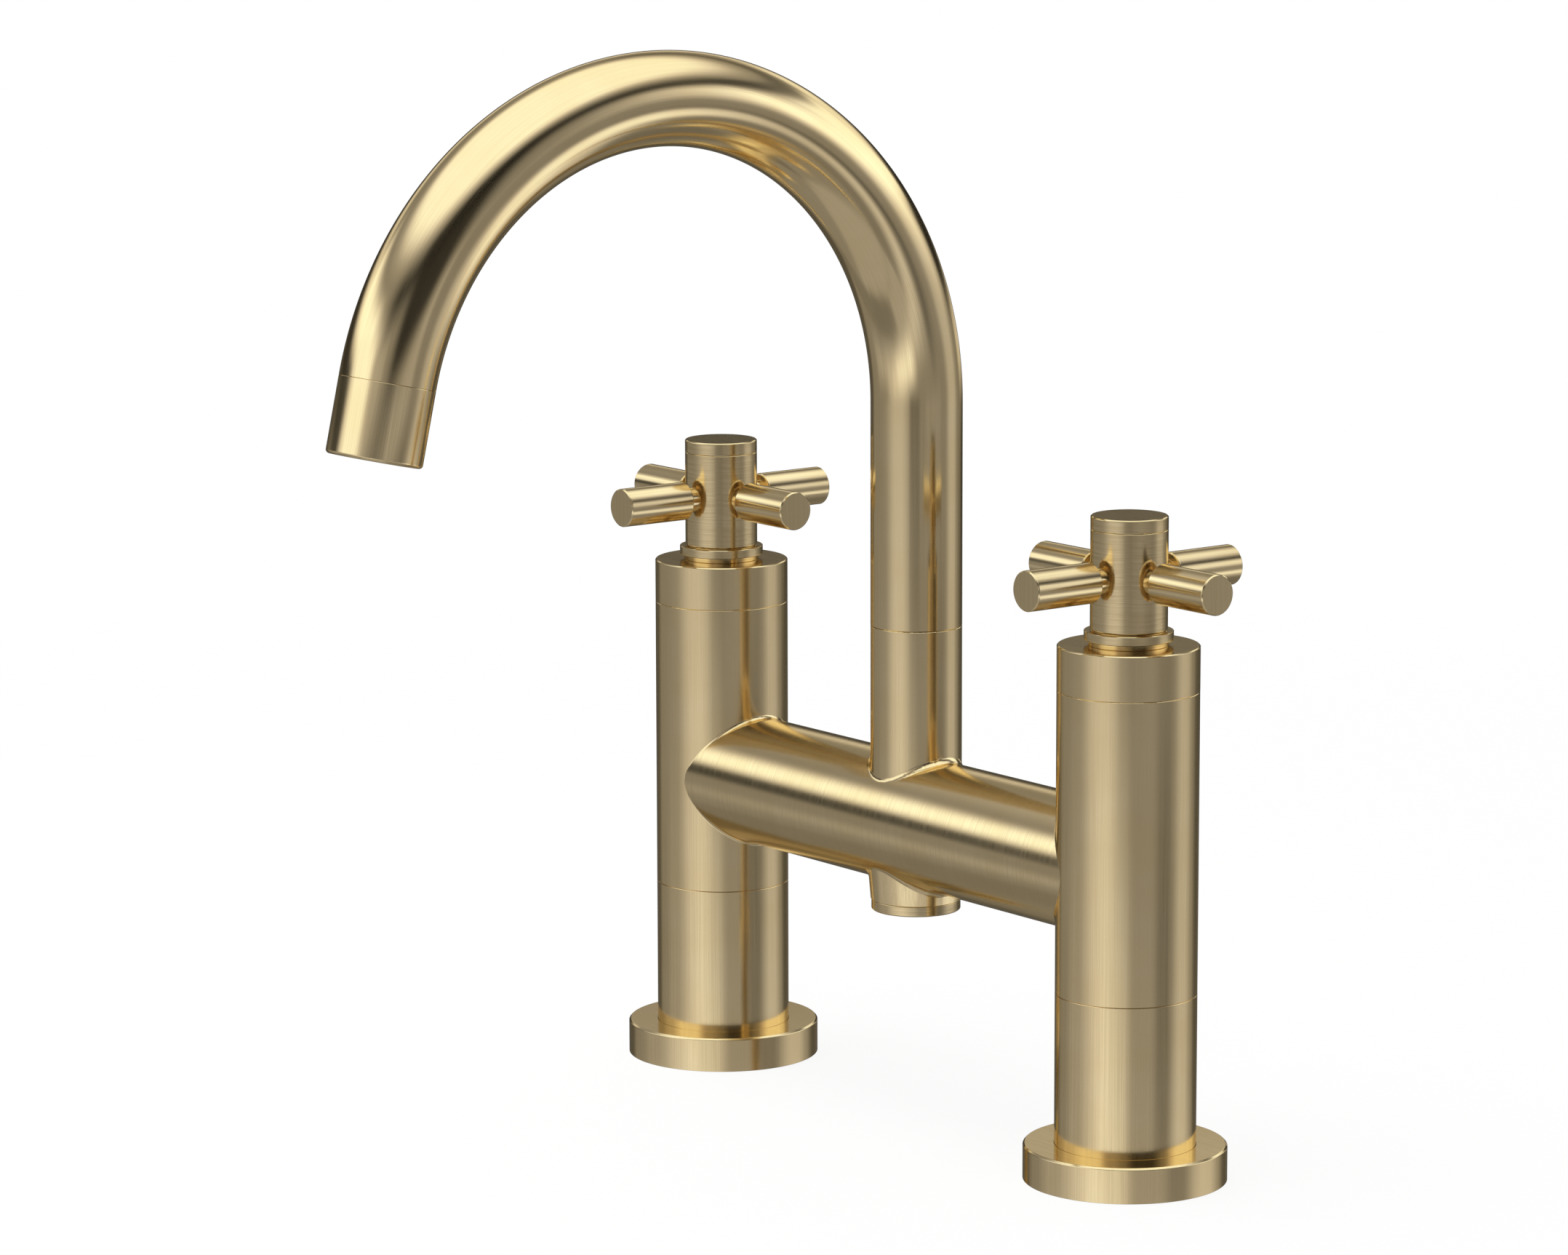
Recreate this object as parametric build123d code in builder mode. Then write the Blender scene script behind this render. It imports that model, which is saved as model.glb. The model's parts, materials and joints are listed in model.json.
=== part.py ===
from build123d import *
from math import cos, radians, sin, tan
import os

# A deck-mounted bath filler tap: two pillars joined by a bridge, with a swan-neck spout that
# swivels and a crosshead handle on each pillar. Millimetres, +Z up. The origin lies on the deck,
# midway between the pillars. X runs along the bridge, hot at -X and cold at +X, and the spout
# reaches towards -Y.

# Gaps and edges
thread_gap = 0.05
spindle_gap = 0.05
swivel_gap = 0.05
bearing_gap = 0.1
turning_gap = 0.3
seal_gap = 0.05
o_ring_slack = 0.15
shroud_hole_gap = 0.2
depth_gap = 0.3
seam_gap = 0.1
seam_break = 0.15
edge_break = 0.3
same_size = 0.001

# Pillars and bridge, as they show from outside
pillar_spacing = 180.0
pillar_r = 19.0
leg_seam_z = 50.9
shroud_seam_z = 132.8
pillar_top_z = 145.0
bridge_step = 1.0
bridge_z = 82.8
pillar_fillet = 1.1
riser_fillet = 2.0
boss_fillet = 2.0

# Deck fixing under each pillar
deck_thickness = 20.0
seal_thickness = 1.5
rosette_lip = 8.4
rosette_height = 9.7
rosette_rim = 1.7
rosette_chamfer = 0.5
seal_side_gap = 0.2
foot_lip = 4.5
foot_height = 3.0
foot_top_gap = 0.1
tail_thread_r = 13.22
tail_land_r = 13.5
tail_shank_r = 13.9
tail_shank_length = 6.0
tail_bore_r = 8.5
tail_in_leg = 14.5
shank_side_gap = 0.4
washer_r = 20.0
washer_thickness = 2.0
nut_across_flats = 32.0
nut_flange_r = 18.0
nut_flange_height = 2.0
nut_height = 8.0
nut_chamfer_angle = 30.0
thread_below_nut = 2.0
runout_r = 12.4
runout_width = 2.0
supply_thread_length = 16.0

# Leg spigot in the mixer body, and the waterway up to the valve seat
leg_spigot_r = 15.0
leg_spigot_length = 10.0
leg_bore_r = 9.0
inlet_bore_r = 7.5

# Neck of each pillar, under its shroud
shroud_wall = 2.35
shroud_top = 2.8
neck_length = 6.2
neck_lip = 1.6
valve_o_ring_wire_r = 0.85
valve_o_ring_seat_depth = 2.2

# Quarter-turn valve
valve_depth = 39.0
valve_nose_gap = 1.0
outlet_ring_width = 2.3
skirt_wall = 1.6
skirt_length = 21.0
valve_flange_across_flats = 27.0
valve_flange_height = 3.0
valve_neck_r = 9.5
valve_neck_length = 6.3
window_height = 5.0
window_half_angle = 35.0
seat_seal_height = 3.5
disc_height = 3.5
port_inner_r = 2.2
port_rim = 1.4
port_half_angle = 40.0
drive_width = 3.0
drive_depth = 1.5
drive_length = 14.0
port_middles = (90.0, 270.0)
handle_turn = 90.0
handle_senses = {"hot": -1, "cold": 1}

# Spindle
drum_height = 7.8
drum_top_gap = 0.5
stop_lug_height = 3.0
stop_lug_angle = 90.0
stop_lug_root_r = 6.5
stop_clear_angle = 2.0
spindle_r = 5.5
spindle_o_ring_wire_r = 0.8
spindle_o_ring_height = 8.0
clip_groove_r = 4.75
clip_thickness = 0.8
clip_r = 7.0
clip_opening_angle = 70.0
clip_lift = 0.1
clip_slack = 0.1
shoulder_height = 0.8
spline_teeth = 20
spline_root_r = 3.65
spline_tip_r = 4.0
spline_tooth_width = 0.6
spindle_top_z = 166.0
tapped_depth = 11.0

# Crosshead handle
collar_r = 10.65
collar_height = 1.45
trim_ring_r = 11.9
trim_ring_height = 2.45
hub_r = 10.3
hub_seam_z = 175.9
hub_foot_r = 7.5
hub_foot_depth = 2.8
hub_web = 2.7
cap_socket_r = 7.0
cap_height = 3.6
cap_spigot_length = 3.4
cap_spigot_wall = 1.75
arm_z = 162.8
arm_r = 5.45
arm_reach = 35.25
arm_start = 13.5
arm_neck_r = 3.5
arm_neck_seat = 9.6
arm_stud_r = 2.5
arm_stud_end = 5.3
screw_r = 2.5
screw_length = 12.5
screw_head_r = 4.3
screw_head_height = 5.0
screw_key_across_flats = 4.0
screw_key_depth = 2.5
screw_side_gap = 0.25

# Waterways of the mixer body
bridge_bore_r = 9.0
bridge_bore_end = 10.0
passage_r = 3.5
passage_wall = 2.3
passage_spread = 30.0
passage_above_seat = 8.0
riser_bore_r = 7.5

# Swivel joint and spout
spout_r = 12.65
spout_wall = 1.8
swivel_seam_z = 137.85
swivel_socket_r = 10.0
swivel_socket_floor_z = 104.0
spigot_foot_gap = 4.0
spigot_in_tube = 14.0
bearing_height = 3.0
bearing_width = 1.2
swivel_o_ring_wire_r = 0.95
swivel_o_ring_heights = (4.5, 9.5)
grub_z = 127.0
grub_r = 2.0
grub_inset = 0.4
grub_groove_r = 8.6
grub_key_across_flats = 2.0
grub_key_depth = 1.2
bend_r = 87.7
bend_z = 199.9
bend_angle = 167.1

# Nozzle and aerator
nozzle_length = 20.4
nozzle_round = 1.0
nozzle_spigot_length = 6.0
nozzle_socket_wall = 1.45
nozzle_mouth_wall = 1.15
nozzle_bore_r = 9.5
nozzle_shoulder = 11.0
aerator_washer_height = 1.2
aerator_recess = 0.8
aerator_wall = 1.6
aerator_plate = 1.6
aerator_hole_r = 0.8
aerator_hole_pitch = 2.5

# Boss and blanking plug under the bridge
boss_drop = 3.9
boss_r = 12.6
boss_draft = 5.0
boss_bore_r = 8.0
plug_r = 12.4
plug_head_height = 2.9
plug_shank_length = 11.0
plug_o_ring_wire_r = 1.25
plug_key_across_flats = 8.0
plug_key_depth = 5.0

# Heights that follow from the sizes above
rosette_recess = seal_thickness + foot_height + foot_top_gap
neck_top_z = shroud_seam_z + neck_length
seat_z = neck_top_z - valve_depth
disc_z = seat_z + seat_seal_height
moving_disc_z = disc_z + disc_height
drum_z = moving_disc_z + disc_height
flange_top_z = neck_top_z + valve_flange_height
valve_top_z = flange_top_z + valve_neck_length
collar_top_z = pillar_top_z + collar_height
trim_ring_top_z = collar_top_z + trim_ring_height
hub_z = trim_ring_top_z + turning_gap
clip_z = valve_top_z + clip_lift
hub_foot_z = hub_z + hub_foot_depth
hub_web_z = spindle_top_z + hub_web
drum_top_z = drum_z + drum_height
cavity_top_z = drum_top_z + drum_top_gap
spindle_o_ring_z = cavity_top_z + spindle_o_ring_height
spout_base_z = swivel_seam_z + seam_gap
swivel_o_ring_z = [
    swivel_socket_floor_z + spigot_foot_gap + height for height in swivel_o_ring_heights
]
washer_top_z = -deck_thickness
nut_top_z = washer_top_z - washer_thickness
nut_bottom_z = nut_top_z - nut_height
runout_top_z = nut_bottom_z - thread_below_nut
runout_bottom_z = runout_top_z - runout_width
tail_bottom_z = runout_bottom_z - supply_thread_length

# Radii that follow, from the pillar's outside inwards, and the boss's end under the bridge
bridge_r = pillar_r - bridge_step
rosette_r = pillar_r + rosette_lip
foot_r = pillar_r + foot_lip
boss_seam_z = bridge_z - bridge_r - boss_drop
shroud_bore_r = pillar_r - shroud_wall
neck_r = shroud_bore_r - thread_gap
o_ring_seat_r = neck_r - neck_lip
valve_r = o_ring_seat_r - 2 * valve_o_ring_wire_r - 2 * seal_gap
valve_bore_r = valve_r + thread_gap
skirt_r = valve_r - outlet_ring_width
cavity_r = skirt_r - skirt_wall
disc_r = cavity_r - turning_gap
port_outer_r = disc_r - port_rim
passage_ring_r = pillar_r - passage_wall - passage_r
spout_bore_r = spout_r - spout_wall
spigot_r = swivel_socket_r - swivel_gap
bearing_bore_r = spigot_r + bearing_gap
bearing_seat_r = bearing_bore_r + bearing_width
nozzle_socket_r = spout_r - nozzle_socket_wall
mouth_r = spout_r - nozzle_mouth_wall
aerator_r = mouth_r - thread_gap
plug_o_ring_seat_r = boss_bore_r + 2 * plug_o_ring_wire_r + seal_gap

# The spout's outlet: the way in which the water leaves it, and planes on that way
bend = radians(bend_angle)
outlet_point = (0, bend_r * (cos(bend) - 1), bend_z + bend_r * sin(bend))
outlet_way = (0, -sin(bend), cos(bend))
outlet_plane = Plane(origin=outlet_point, x_dir=(1, 0, 0), z_dir=outlet_way)
along_outlet = Plane(origin=outlet_point, x_dir=outlet_way, z_dir=(1, 0, 0))

sides = {"hot": -pillar_spacing / 2, "cold": pillar_spacing / 2}
arm_ways = {"right": 0, "back": 90, "left": 180, "front": 270}


def write(piece, label):
    """Name a finished piece and write it to its own file."""
    piece.part.label = label
    export_step(piece.part, f"parts/{label}.step")


def upright(x):
    """A plane whose x axis points up, along a pillar or along the spout's riser at x = 0."""
    return Plane(origin=(x, 0, 0), x_dir=(0, 0, 1), z_dir=(0, 1, 0))


def turn(plane, *outline, mode=Mode.ADD):
    """Turn an outline of (distance along the plane's x axis, radius) points about that axis."""
    with BuildSketch(plane) as section:
        with BuildLine():
            Polyline(*outline, close=True)
        make_face()
    revolve(section.sketch, axis=Axis(plane.origin, plane.x_dir), mode=mode)


def ring(plane, start, end, inner_r, outer_r, mode=Mode.ADD):
    """Turn a plain ring about the plane's x axis."""
    turn(plane, (start, inner_r), (start, outer_r), (end, outer_r), (end, inner_r), mode=mode)


def sector(inner_r, outer_r, middle, half_angle, mode=Mode.ADD):
    """Draw a sector of a ring, about a middle angle, in the sketch that is open."""
    with BuildLine() as outline:
        near = CenterArc((0, 0), inner_r, middle - half_angle, 2 * half_angle)
        far = CenterArc((0, 0), outer_r, middle - half_angle, 2 * half_angle)
        Line(near @ 0, far @ 0)
        Line(near @ 1, far @ 1)
    make_face(outline.edges(), mode=mode)


def is_rim(edge, radius):
    """Whether an edge is a circle of this radius."""
    return edge.geom_type == GeomType.CIRCLE and abs(edge.radius - radius) < same_size


def rims(piece, radius, height):
    """The piece's round edges of one radius at one height."""
    return piece.edges().filter_by(
        lambda edge: is_rim(edge, radius) and abs(edge.arc_center.Z - height) < same_size
    )


# Deck fixing


def make_deck_seal(side, x):
    outer_r = rosette_r - rosette_rim - seal_side_gap
    with BuildPart() as seal:
        ring(upright(x), 0, seal_thickness, tail_shank_r + shank_side_gap, outer_r)
    write(seal, f"{side}_deck_seal")


def make_rosette(side, x):
    recess_r = rosette_r - rosette_rim
    bore_r = pillar_r + thread_gap
    with BuildPart() as rosette:
        turn(
            upright(x),
            (0, recess_r),
            (0, rosette_r),
            (rosette_height, rosette_r),
            (rosette_height, bore_r),
            (rosette_recess, bore_r),
            (rosette_recess, recess_r),
        )
        chamfer(rims(rosette, rosette_r, rosette_height), rosette_chamfer)
    write(rosette, f"{side}_rosette")


def make_leg(side, x):
    foot_top_z = seal_thickness + foot_height
    socket_end_z = seal_thickness + tail_in_leg + depth_gap
    spigot_top_z = leg_seam_z + leg_spigot_length
    socket_r = tail_thread_r + thread_gap
    with BuildPart() as leg:
        turn(
            upright(x),
            (seal_thickness, socket_r),
            (seal_thickness, foot_r),
            (foot_top_z, foot_r),
            (foot_top_z, pillar_r),
            (leg_seam_z, pillar_r),
            (leg_seam_z, leg_spigot_r),
            (spigot_top_z, leg_spigot_r),
            (spigot_top_z, leg_bore_r),
            (socket_end_z, leg_bore_r),
            (socket_end_z, socket_r),
        )
        chamfer(rims(leg, pillar_r, leg_seam_z), seam_break)
        chamfer(rims(leg, leg_spigot_r, spigot_top_z), edge_break)
    write(leg, f"{side}_leg")


def make_tail(side, x):
    thread_top_z = seal_thickness + tail_in_leg
    with BuildPart() as tail:
        turn(
            upright(x),
            (tail_bottom_z, tail_bore_r),
            (tail_bottom_z, tail_thread_r),
            (-tail_shank_length, tail_thread_r),
            (-tail_shank_length, tail_shank_r),
            (0, tail_shank_r),
            (0, tail_land_r),
            (seal_thickness, tail_land_r),
            (seal_thickness, tail_thread_r),
            (thread_top_z, tail_thread_r),
            (thread_top_z, tail_bore_r),
        )
        ring(upright(x), runout_bottom_z, runout_top_z, runout_r, tail_shank_r, mode=Mode.SUBTRACT)
        chamfer(rims(tail, tail_thread_r, thread_top_z), edge_break)
    write(tail, f"{side}_tail")


def make_clamp_washer(side, x):
    with BuildPart() as washer:
        ring(upright(x), nut_top_z, washer_top_z, tail_thread_r + shank_side_gap, washer_r)
    write(washer, f"{side}_clamp_washer")


def make_back_nut(side, x):
    flat_r = nut_across_flats / 2
    with BuildPart() as nut:
        with BuildSketch(Plane((x, 0, nut_bottom_z))):
            hexagon = RegularPolygon(radius=flat_r, side_count=6, major_radius=False)
        extrude(amount=nut_height)
        corner_z = nut_bottom_z + (hexagon.radius - flat_r) * tan(radians(nut_chamfer_angle))
        turn(
            upright(x),
            (nut_bottom_z, 0),
            (nut_bottom_z, flat_r),
            (corner_z, hexagon.radius),
            (nut_top_z, hexagon.radius),
            (nut_top_z, 0),
            mode=Mode.INTERSECT,
        )
        with BuildSketch(Plane((x, 0, nut_top_z - nut_flange_height))):
            Circle(nut_flange_r)
        extrude(amount=nut_flange_height)
        with Locations((x, 0, nut_top_z)):
            Hole(tail_thread_r + thread_gap)
    write(nut, f"{side}_back_nut")


# Valve in the head of each pillar


def make_shroud(side, x):
    ceiling_z = pillar_top_z - shroud_top
    hole_r = valve_neck_r + shroud_hole_gap
    with BuildPart() as shroud:
        turn(
            upright(x),
            (shroud_seam_z, shroud_bore_r),
            (shroud_seam_z, pillar_r),
            (pillar_top_z, pillar_r),
            (pillar_top_z, hole_r),
            (ceiling_z, hole_r),
            (ceiling_z, shroud_bore_r),
        )
        chamfer(rims(shroud, pillar_r, shroud_seam_z), seam_break)
        chamfer(rims(shroud, pillar_r, pillar_top_z), edge_break)
    write(shroud, f"{side}_shroud")


def make_valve_body(side, x):
    nose_z = seat_z + valve_nose_gap
    bore_r = spindle_r + spindle_gap
    stop_z = drum_top_z - stop_lug_height + depth_gap
    stop_half_angle = 180 - (stop_lug_angle + handle_turn) / 2 - stop_clear_angle
    with BuildPart() as valve:
        with BuildSketch(Plane((x, 0, neck_top_z))):
            RegularPolygon(radius=valve_flange_across_flats / 2, side_count=6, major_radius=False)
            Circle(bore_r, mode=Mode.SUBTRACT)
        extrude(amount=valve_flange_height)
        turn(
            upright(x),
            (nose_z, cavity_r),
            (nose_z, skirt_r),
            (nose_z + skirt_length, skirt_r),
            (nose_z + skirt_length, valve_r),
            (flange_top_z, valve_r),
            (flange_top_z, valve_neck_r),
            (valve_top_z, valve_neck_r),
            (valve_top_z, bore_r),
            (cavity_top_z, bore_r),
            (cavity_top_z, cavity_r),
        )
        chamfer(rims(valve, valve_neck_r, valve_top_z), edge_break)
        with BuildSketch(Plane((x, 0, stop_z))):
            sector(stop_lug_root_r + turning_gap, cavity_r + skirt_wall / 2, 180, stop_half_angle)
        extrude(amount=cavity_top_z - stop_z)
        with BuildSketch(Plane((x, 0, moving_disc_z))):
            for middle in port_middles:
                sector(disc_r, valve_r, middle, window_half_angle)
        extrude(amount=window_height, mode=Mode.SUBTRACT)
    write(valve, f"{side}_valve_body")


def make_valve_o_ring(side, x):
    middle_z = neck_top_z - valve_o_ring_seat_depth / 2
    with BuildPart(Plane((x, 0, middle_z))) as o_ring:
        Torus(valve_r + seal_gap + valve_o_ring_wire_r, valve_o_ring_wire_r)
    write(o_ring, f"{side}_valve_o_ring")


def make_seat_seal(side, x):
    with BuildPart() as seal:
        ring(upright(x), seat_z, disc_z, port_outer_r, cavity_r - seal_gap)
    write(seal, f"{side}_seat_seal")


def make_fixed_disc(side, x):
    with BuildPart() as disc:
        with BuildSketch(Plane((x, 0, disc_z))):
            Circle(cavity_r - seal_gap)
        extrude(amount=disc_height)
        with BuildSketch(Plane((x, 0, disc_z))):
            for middle in port_middles:
                sector(port_inner_r, port_outer_r, middle, port_half_angle)
        extrude(amount=disc_height, mode=Mode.SUBTRACT)
    write(disc, f"{side}_fixed_disc")


def make_moving_disc(side, x):
    slot_z = drum_z - drive_depth - depth_gap
    with BuildPart() as disc:
        with BuildSketch(Plane((x, 0, moving_disc_z))):
            Circle(disc_r)
            for middle in port_middles:
                closed = middle - handle_turn
                sector(port_inner_r, cavity_r, closed, port_half_angle, mode=Mode.SUBTRACT)
        extrude(amount=disc_height)
        with BuildSketch(Plane((x, 0, slot_z))):
            Rectangle(drive_width + 2 * thread_gap, drive_length + 2 * thread_gap)
        extrude(amount=drum_z - slot_z, mode=Mode.SUBTRACT)
    write(disc, f"{side}_moving_disc")


def make_spindle(side, x):
    shoulder_z = clip_z + clip_thickness + clip_slack + shoulder_height
    lug_middle = -handle_senses[side] * handle_turn / 2
    with BuildPart() as spindle:
        turn(
            upright(x),
            (drum_z, 0),
            (drum_z, disc_r),
            (drum_top_z, disc_r),
            (drum_top_z, spindle_r),
            (shoulder_z, spindle_r),
            (shoulder_z, 0),
        )
        with BuildSketch(Plane((x, 0, drum_top_z - stop_lug_height))):
            sector(stop_lug_root_r, cavity_r, lug_middle + 180, 180 - stop_lug_angle / 2)
        extrude(amount=stop_lug_height, mode=Mode.SUBTRACT)
        with BuildSketch(Plane((x, 0, drum_z - drive_depth))):
            Rectangle(drive_width, drive_length)
        extrude(amount=drive_depth)
        with BuildSketch(Plane((x, 0, shoulder_z))):
            Circle(spline_root_r)
            with PolarLocations(spline_root_r, spline_teeth):
                Rectangle(2 * (spline_tip_r - spline_root_r), spline_tooth_width)
        extrude(amount=spindle_top_z - shoulder_z)
        o_ring_start = spindle_o_ring_z - spindle_o_ring_wire_r - o_ring_slack
        o_ring_end = spindle_o_ring_z + spindle_o_ring_wire_r + o_ring_slack
        o_ring_floor_r = spindle_r - 2 * spindle_o_ring_wire_r - seal_gap
        ring(upright(x), o_ring_start, o_ring_end, o_ring_floor_r, cavity_r, mode=Mode.SUBTRACT)
        clip_end = clip_z + clip_thickness + clip_slack
        ring(upright(x), clip_z, clip_end, clip_groove_r, cavity_r, mode=Mode.SUBTRACT)
        with Locations((x, 0, spindle_top_z)):
            Hole(screw_r + thread_gap, depth=tapped_depth)
    write(spindle, f"{side}_spindle")


def make_spindle_o_ring(side, x):
    with BuildPart(Plane((x, 0, spindle_o_ring_z))) as o_ring:
        Torus(spindle_r - spindle_o_ring_wire_r, spindle_o_ring_wire_r)
    write(o_ring, f"{side}_spindle_o_ring")


def make_spindle_clip(side, x):
    with BuildPart() as clip:
        with BuildSketch(Plane((x, 0, clip_z))):
            sector(clip_groove_r + thread_gap, clip_r, 0, 180 - clip_opening_angle / 2)
        extrude(amount=clip_thickness)
    write(clip, f"{side}_spindle_clip")


# Crosshead handle


def make_collar(side, x):
    with BuildPart() as collar:
        ring(upright(x), pillar_top_z, collar_top_z, valve_neck_r + thread_gap, collar_r)
    write(collar, f"{side}_collar")


def make_trim_ring(side, x):
    with BuildPart() as trim:
        ring(upright(x), collar_top_z, trim_ring_top_z, valve_neck_r + thread_gap, trim_ring_r)
        chamfer(rims(trim, trim_ring_r, collar_top_z), edge_break)
        chamfer(rims(trim, trim_ring_r, trim_ring_top_z), edge_break)
    write(trim, f"{side}_trim_ring")


def make_hub(side, x):
    with BuildPart() as hub:
        turn(
            upright(x),
            (hub_z, hub_foot_r),
            (hub_z, hub_r),
            (hub_seam_z, hub_r),
            (hub_seam_z, cap_socket_r),
            (hub_web_z, cap_socket_r),
            (hub_web_z, screw_r + screw_side_gap),
            (hub_foot_z, screw_r + screw_side_gap),
            (hub_foot_z, hub_foot_r),
        )
        chamfer(rims(hub, hub_r, hub_z), edge_break)
        chamfer(rims(hub, hub_r, hub_seam_z), seam_break)
        with BuildSketch(Plane((x, 0, hub_foot_z))):
            Circle(spline_root_r + thread_gap)
            with PolarLocations(spline_root_r, spline_teeth):
                Rectangle(
                    2 * (spline_tip_r - spline_root_r + thread_gap),
                    spline_tooth_width + 2 * thread_gap,
                )
        extrude(amount=spindle_top_z - hub_foot_z, mode=Mode.SUBTRACT)
        for angle in arm_ways.values():
            way = Vector(cos(radians(angle)), sin(radians(angle)), 0)
            with Locations(Plane(origin=Vector(x, 0, arm_z) + way * hub_r, z_dir=way)):
                CounterBoreHole(
                    arm_stud_r + thread_gap,
                    arm_neck_r + thread_gap,
                    hub_r - arm_neck_seat,
                    depth=hub_r - arm_stud_end,
                )
    write(hub, f"{side}_hub")


def make_arm(side, x, name, angle):
    way = Vector(cos(radians(angle)), sin(radians(angle)), 0)
    along_arm = Plane(origin=(x, 0, arm_z), x_dir=way, z_dir=(0, 0, 1))
    stud_end = arm_stud_end + depth_gap
    with BuildPart() as arm:
        turn(
            along_arm,
            (stud_end, 0),
            (stud_end, arm_stud_r),
            (arm_neck_seat, arm_stud_r),
            (arm_neck_seat, arm_neck_r),
            (arm_start, arm_neck_r),
            (arm_start, arm_r),
            (arm_reach, arm_r),
            (arm_reach, 0),
        )
        chamfer(rims(arm, arm_r, arm_z), edge_break)
    write(arm, f"{side}_arm_{name}")


def make_handle_screw(side, x):
    head_top_z = hub_web_z + screw_head_height
    tip_z = hub_web_z - screw_length
    with BuildPart() as screw:
        turn(
            upright(x),
            (tip_z, 0),
            (tip_z, screw_r),
            (hub_web_z, screw_r),
            (hub_web_z, screw_head_r),
            (head_top_z, screw_head_r),
            (head_top_z, 0),
        )
        chamfer(rims(screw, screw_head_r, head_top_z), edge_break)
        with BuildSketch(Plane((x, 0, head_top_z - screw_key_depth))):
            RegularPolygon(radius=screw_key_across_flats / 2, side_count=6, major_radius=False)
        extrude(amount=screw_key_depth, mode=Mode.SUBTRACT)
    write(screw, f"{side}_handle_screw")


def make_cap(side, x):
    spigot_z = hub_seam_z - cap_spigot_length
    spigot_outer_r = cap_socket_r - thread_gap
    spigot_inner_r = spigot_outer_r - cap_spigot_wall
    cap_top_z = hub_seam_z + cap_height
    with BuildPart() as cap:
        turn(
            upright(x),
            (spigot_z, spigot_inner_r),
            (spigot_z, spigot_outer_r),
            (hub_seam_z, spigot_outer_r),
            (hub_seam_z, hub_r),
            (cap_top_z, hub_r),
            (cap_top_z, 0),
            (hub_seam_z, 0),
            (hub_seam_z, spigot_inner_r),
        )
        chamfer(rims(cap, hub_r, hub_seam_z), seam_break)
        chamfer(rims(cap, hub_r, cap_top_z), edge_break)
    write(cap, f"{side}_cap")


# Mixer body: the bridge cast in one with the middle of both pillars, the riser and the boss


def saddles(piece, reach, low, high):
    """The lines where round arms of the piece meet, by their reach from the middle and height."""
    curved = piece.edges().filter_by(
        lambda edge: edge.geom_type not in (GeomType.CIRCLE, GeomType.LINE)
    )
    within_reach = curved.filter_by_position(Axis.X, -reach, reach)
    return within_reach.filter_by_position(Axis.Z, low, high)


def make_mixer_body():
    pillars = [(x, 0) for x in sides.values()]
    with BuildPart() as body:
        with BuildSketch(Plane.YZ.offset(-pillar_spacing / 2)):
            with Locations((0, bridge_z)):
                Circle(bridge_r)
        extrude(amount=pillar_spacing)
        with BuildSketch(Plane.XY.offset(leg_seam_z)):
            with Locations(*pillars):
                Circle(pillar_r)
        extrude(amount=shroud_seam_z - leg_seam_z)
        fillet(saddles(body, pillar_spacing / 2, leg_seam_z, shroud_seam_z), pillar_fillet)
        with BuildSketch(Plane.XY.offset(bridge_z)):
            Circle(spout_r)
        extrude(amount=swivel_seam_z - bridge_z)
        fillet(saddles(body, pillar_spacing / 4, bridge_z, swivel_seam_z), riser_fillet)
        with BuildSketch(Plane.XY.offset(boss_seam_z)):
            Circle(boss_r)
        extrude(amount=bridge_z - boss_seam_z, taper=-boss_draft)
        fillet(saddles(body, pillar_spacing / 4, boss_seam_z, bridge_z), boss_fillet)
        with BuildSketch(Plane.XY.offset(shroud_seam_z)):
            with Locations(*pillars):
                Circle(neck_r)
        extrude(amount=neck_length)
        for height in (leg_seam_z, shroud_seam_z):
            chamfer(rims(body, pillar_r, height), seam_break)
        chamfer(rims(body, spout_r, swivel_seam_z), seam_break)
        chamfer(rims(body, boss_r, boss_seam_z), seam_break)
        bore_pillars()
        bore_bridge()
    write(body, "mixer_body")


def bore_pillars():
    """Cut the leg socket, the inlet, the valve seat and the outlet passages of both pillars."""
    socket_depth = leg_spigot_length + depth_gap
    passage_top_z = seat_z + passage_above_seat
    for x in sides.values():
        with Locations(Plane(origin=(x, 0, leg_seam_z), z_dir=(0, 0, -1))):
            CounterBoreHole(
                inlet_bore_r,
                leg_spigot_r + thread_gap,
                socket_depth,
                depth=seat_z - leg_seam_z,
            )
        with Locations((x, 0, neck_top_z)):
            CounterBoreHole(valve_bore_r, o_ring_seat_r, valve_o_ring_seat_depth, depth=valve_depth)
        inward = 180 if x > 0 else 0
        for angle in (inward - passage_spread, inward, inward + passage_spread):
            passage_x = x + passage_ring_r * cos(radians(angle))
            passage_y = passage_ring_r * sin(radians(angle))
            with Locations((passage_x, passage_y, passage_top_z)):
                Hole(passage_r, depth=passage_top_z - bridge_z)


def bore_bridge():
    """Cut the waterway along the bridge, the swivel socket, the boss and the grub screw's hole."""
    half_length = pillar_spacing / 2 - bridge_bore_end
    with BuildSketch(Plane.YZ.offset(-half_length)) as waterway:
        with Locations((0, bridge_z)):
            Circle(bridge_bore_r)
    extrude(waterway.sketch, amount=2 * half_length, mode=Mode.SUBTRACT)
    with Locations((0, 0, swivel_seam_z)):
        CounterBoreHole(
            swivel_socket_r,
            bearing_seat_r,
            bearing_height,
            depth=swivel_seam_z - swivel_socket_floor_z,
        )
    with Locations((0, 0, swivel_socket_floor_z)):
        Hole(riser_bore_r, depth=swivel_socket_floor_z - bridge_z)
    with Locations(Plane(origin=(0, 0, boss_seam_z), z_dir=(0, 0, -1))):
        CounterBoreHole(
            boss_bore_r,
            plug_o_ring_seat_r,
            2 * plug_o_ring_wire_r + seal_gap,
            depth=bridge_z - boss_seam_z,
        )
    with Locations(Plane(origin=(0, spout_r, grub_z), z_dir=(0, 1, 0))):
        Hole(grub_r + thread_gap, depth=spout_r)


# Swivel joint and spout


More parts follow.
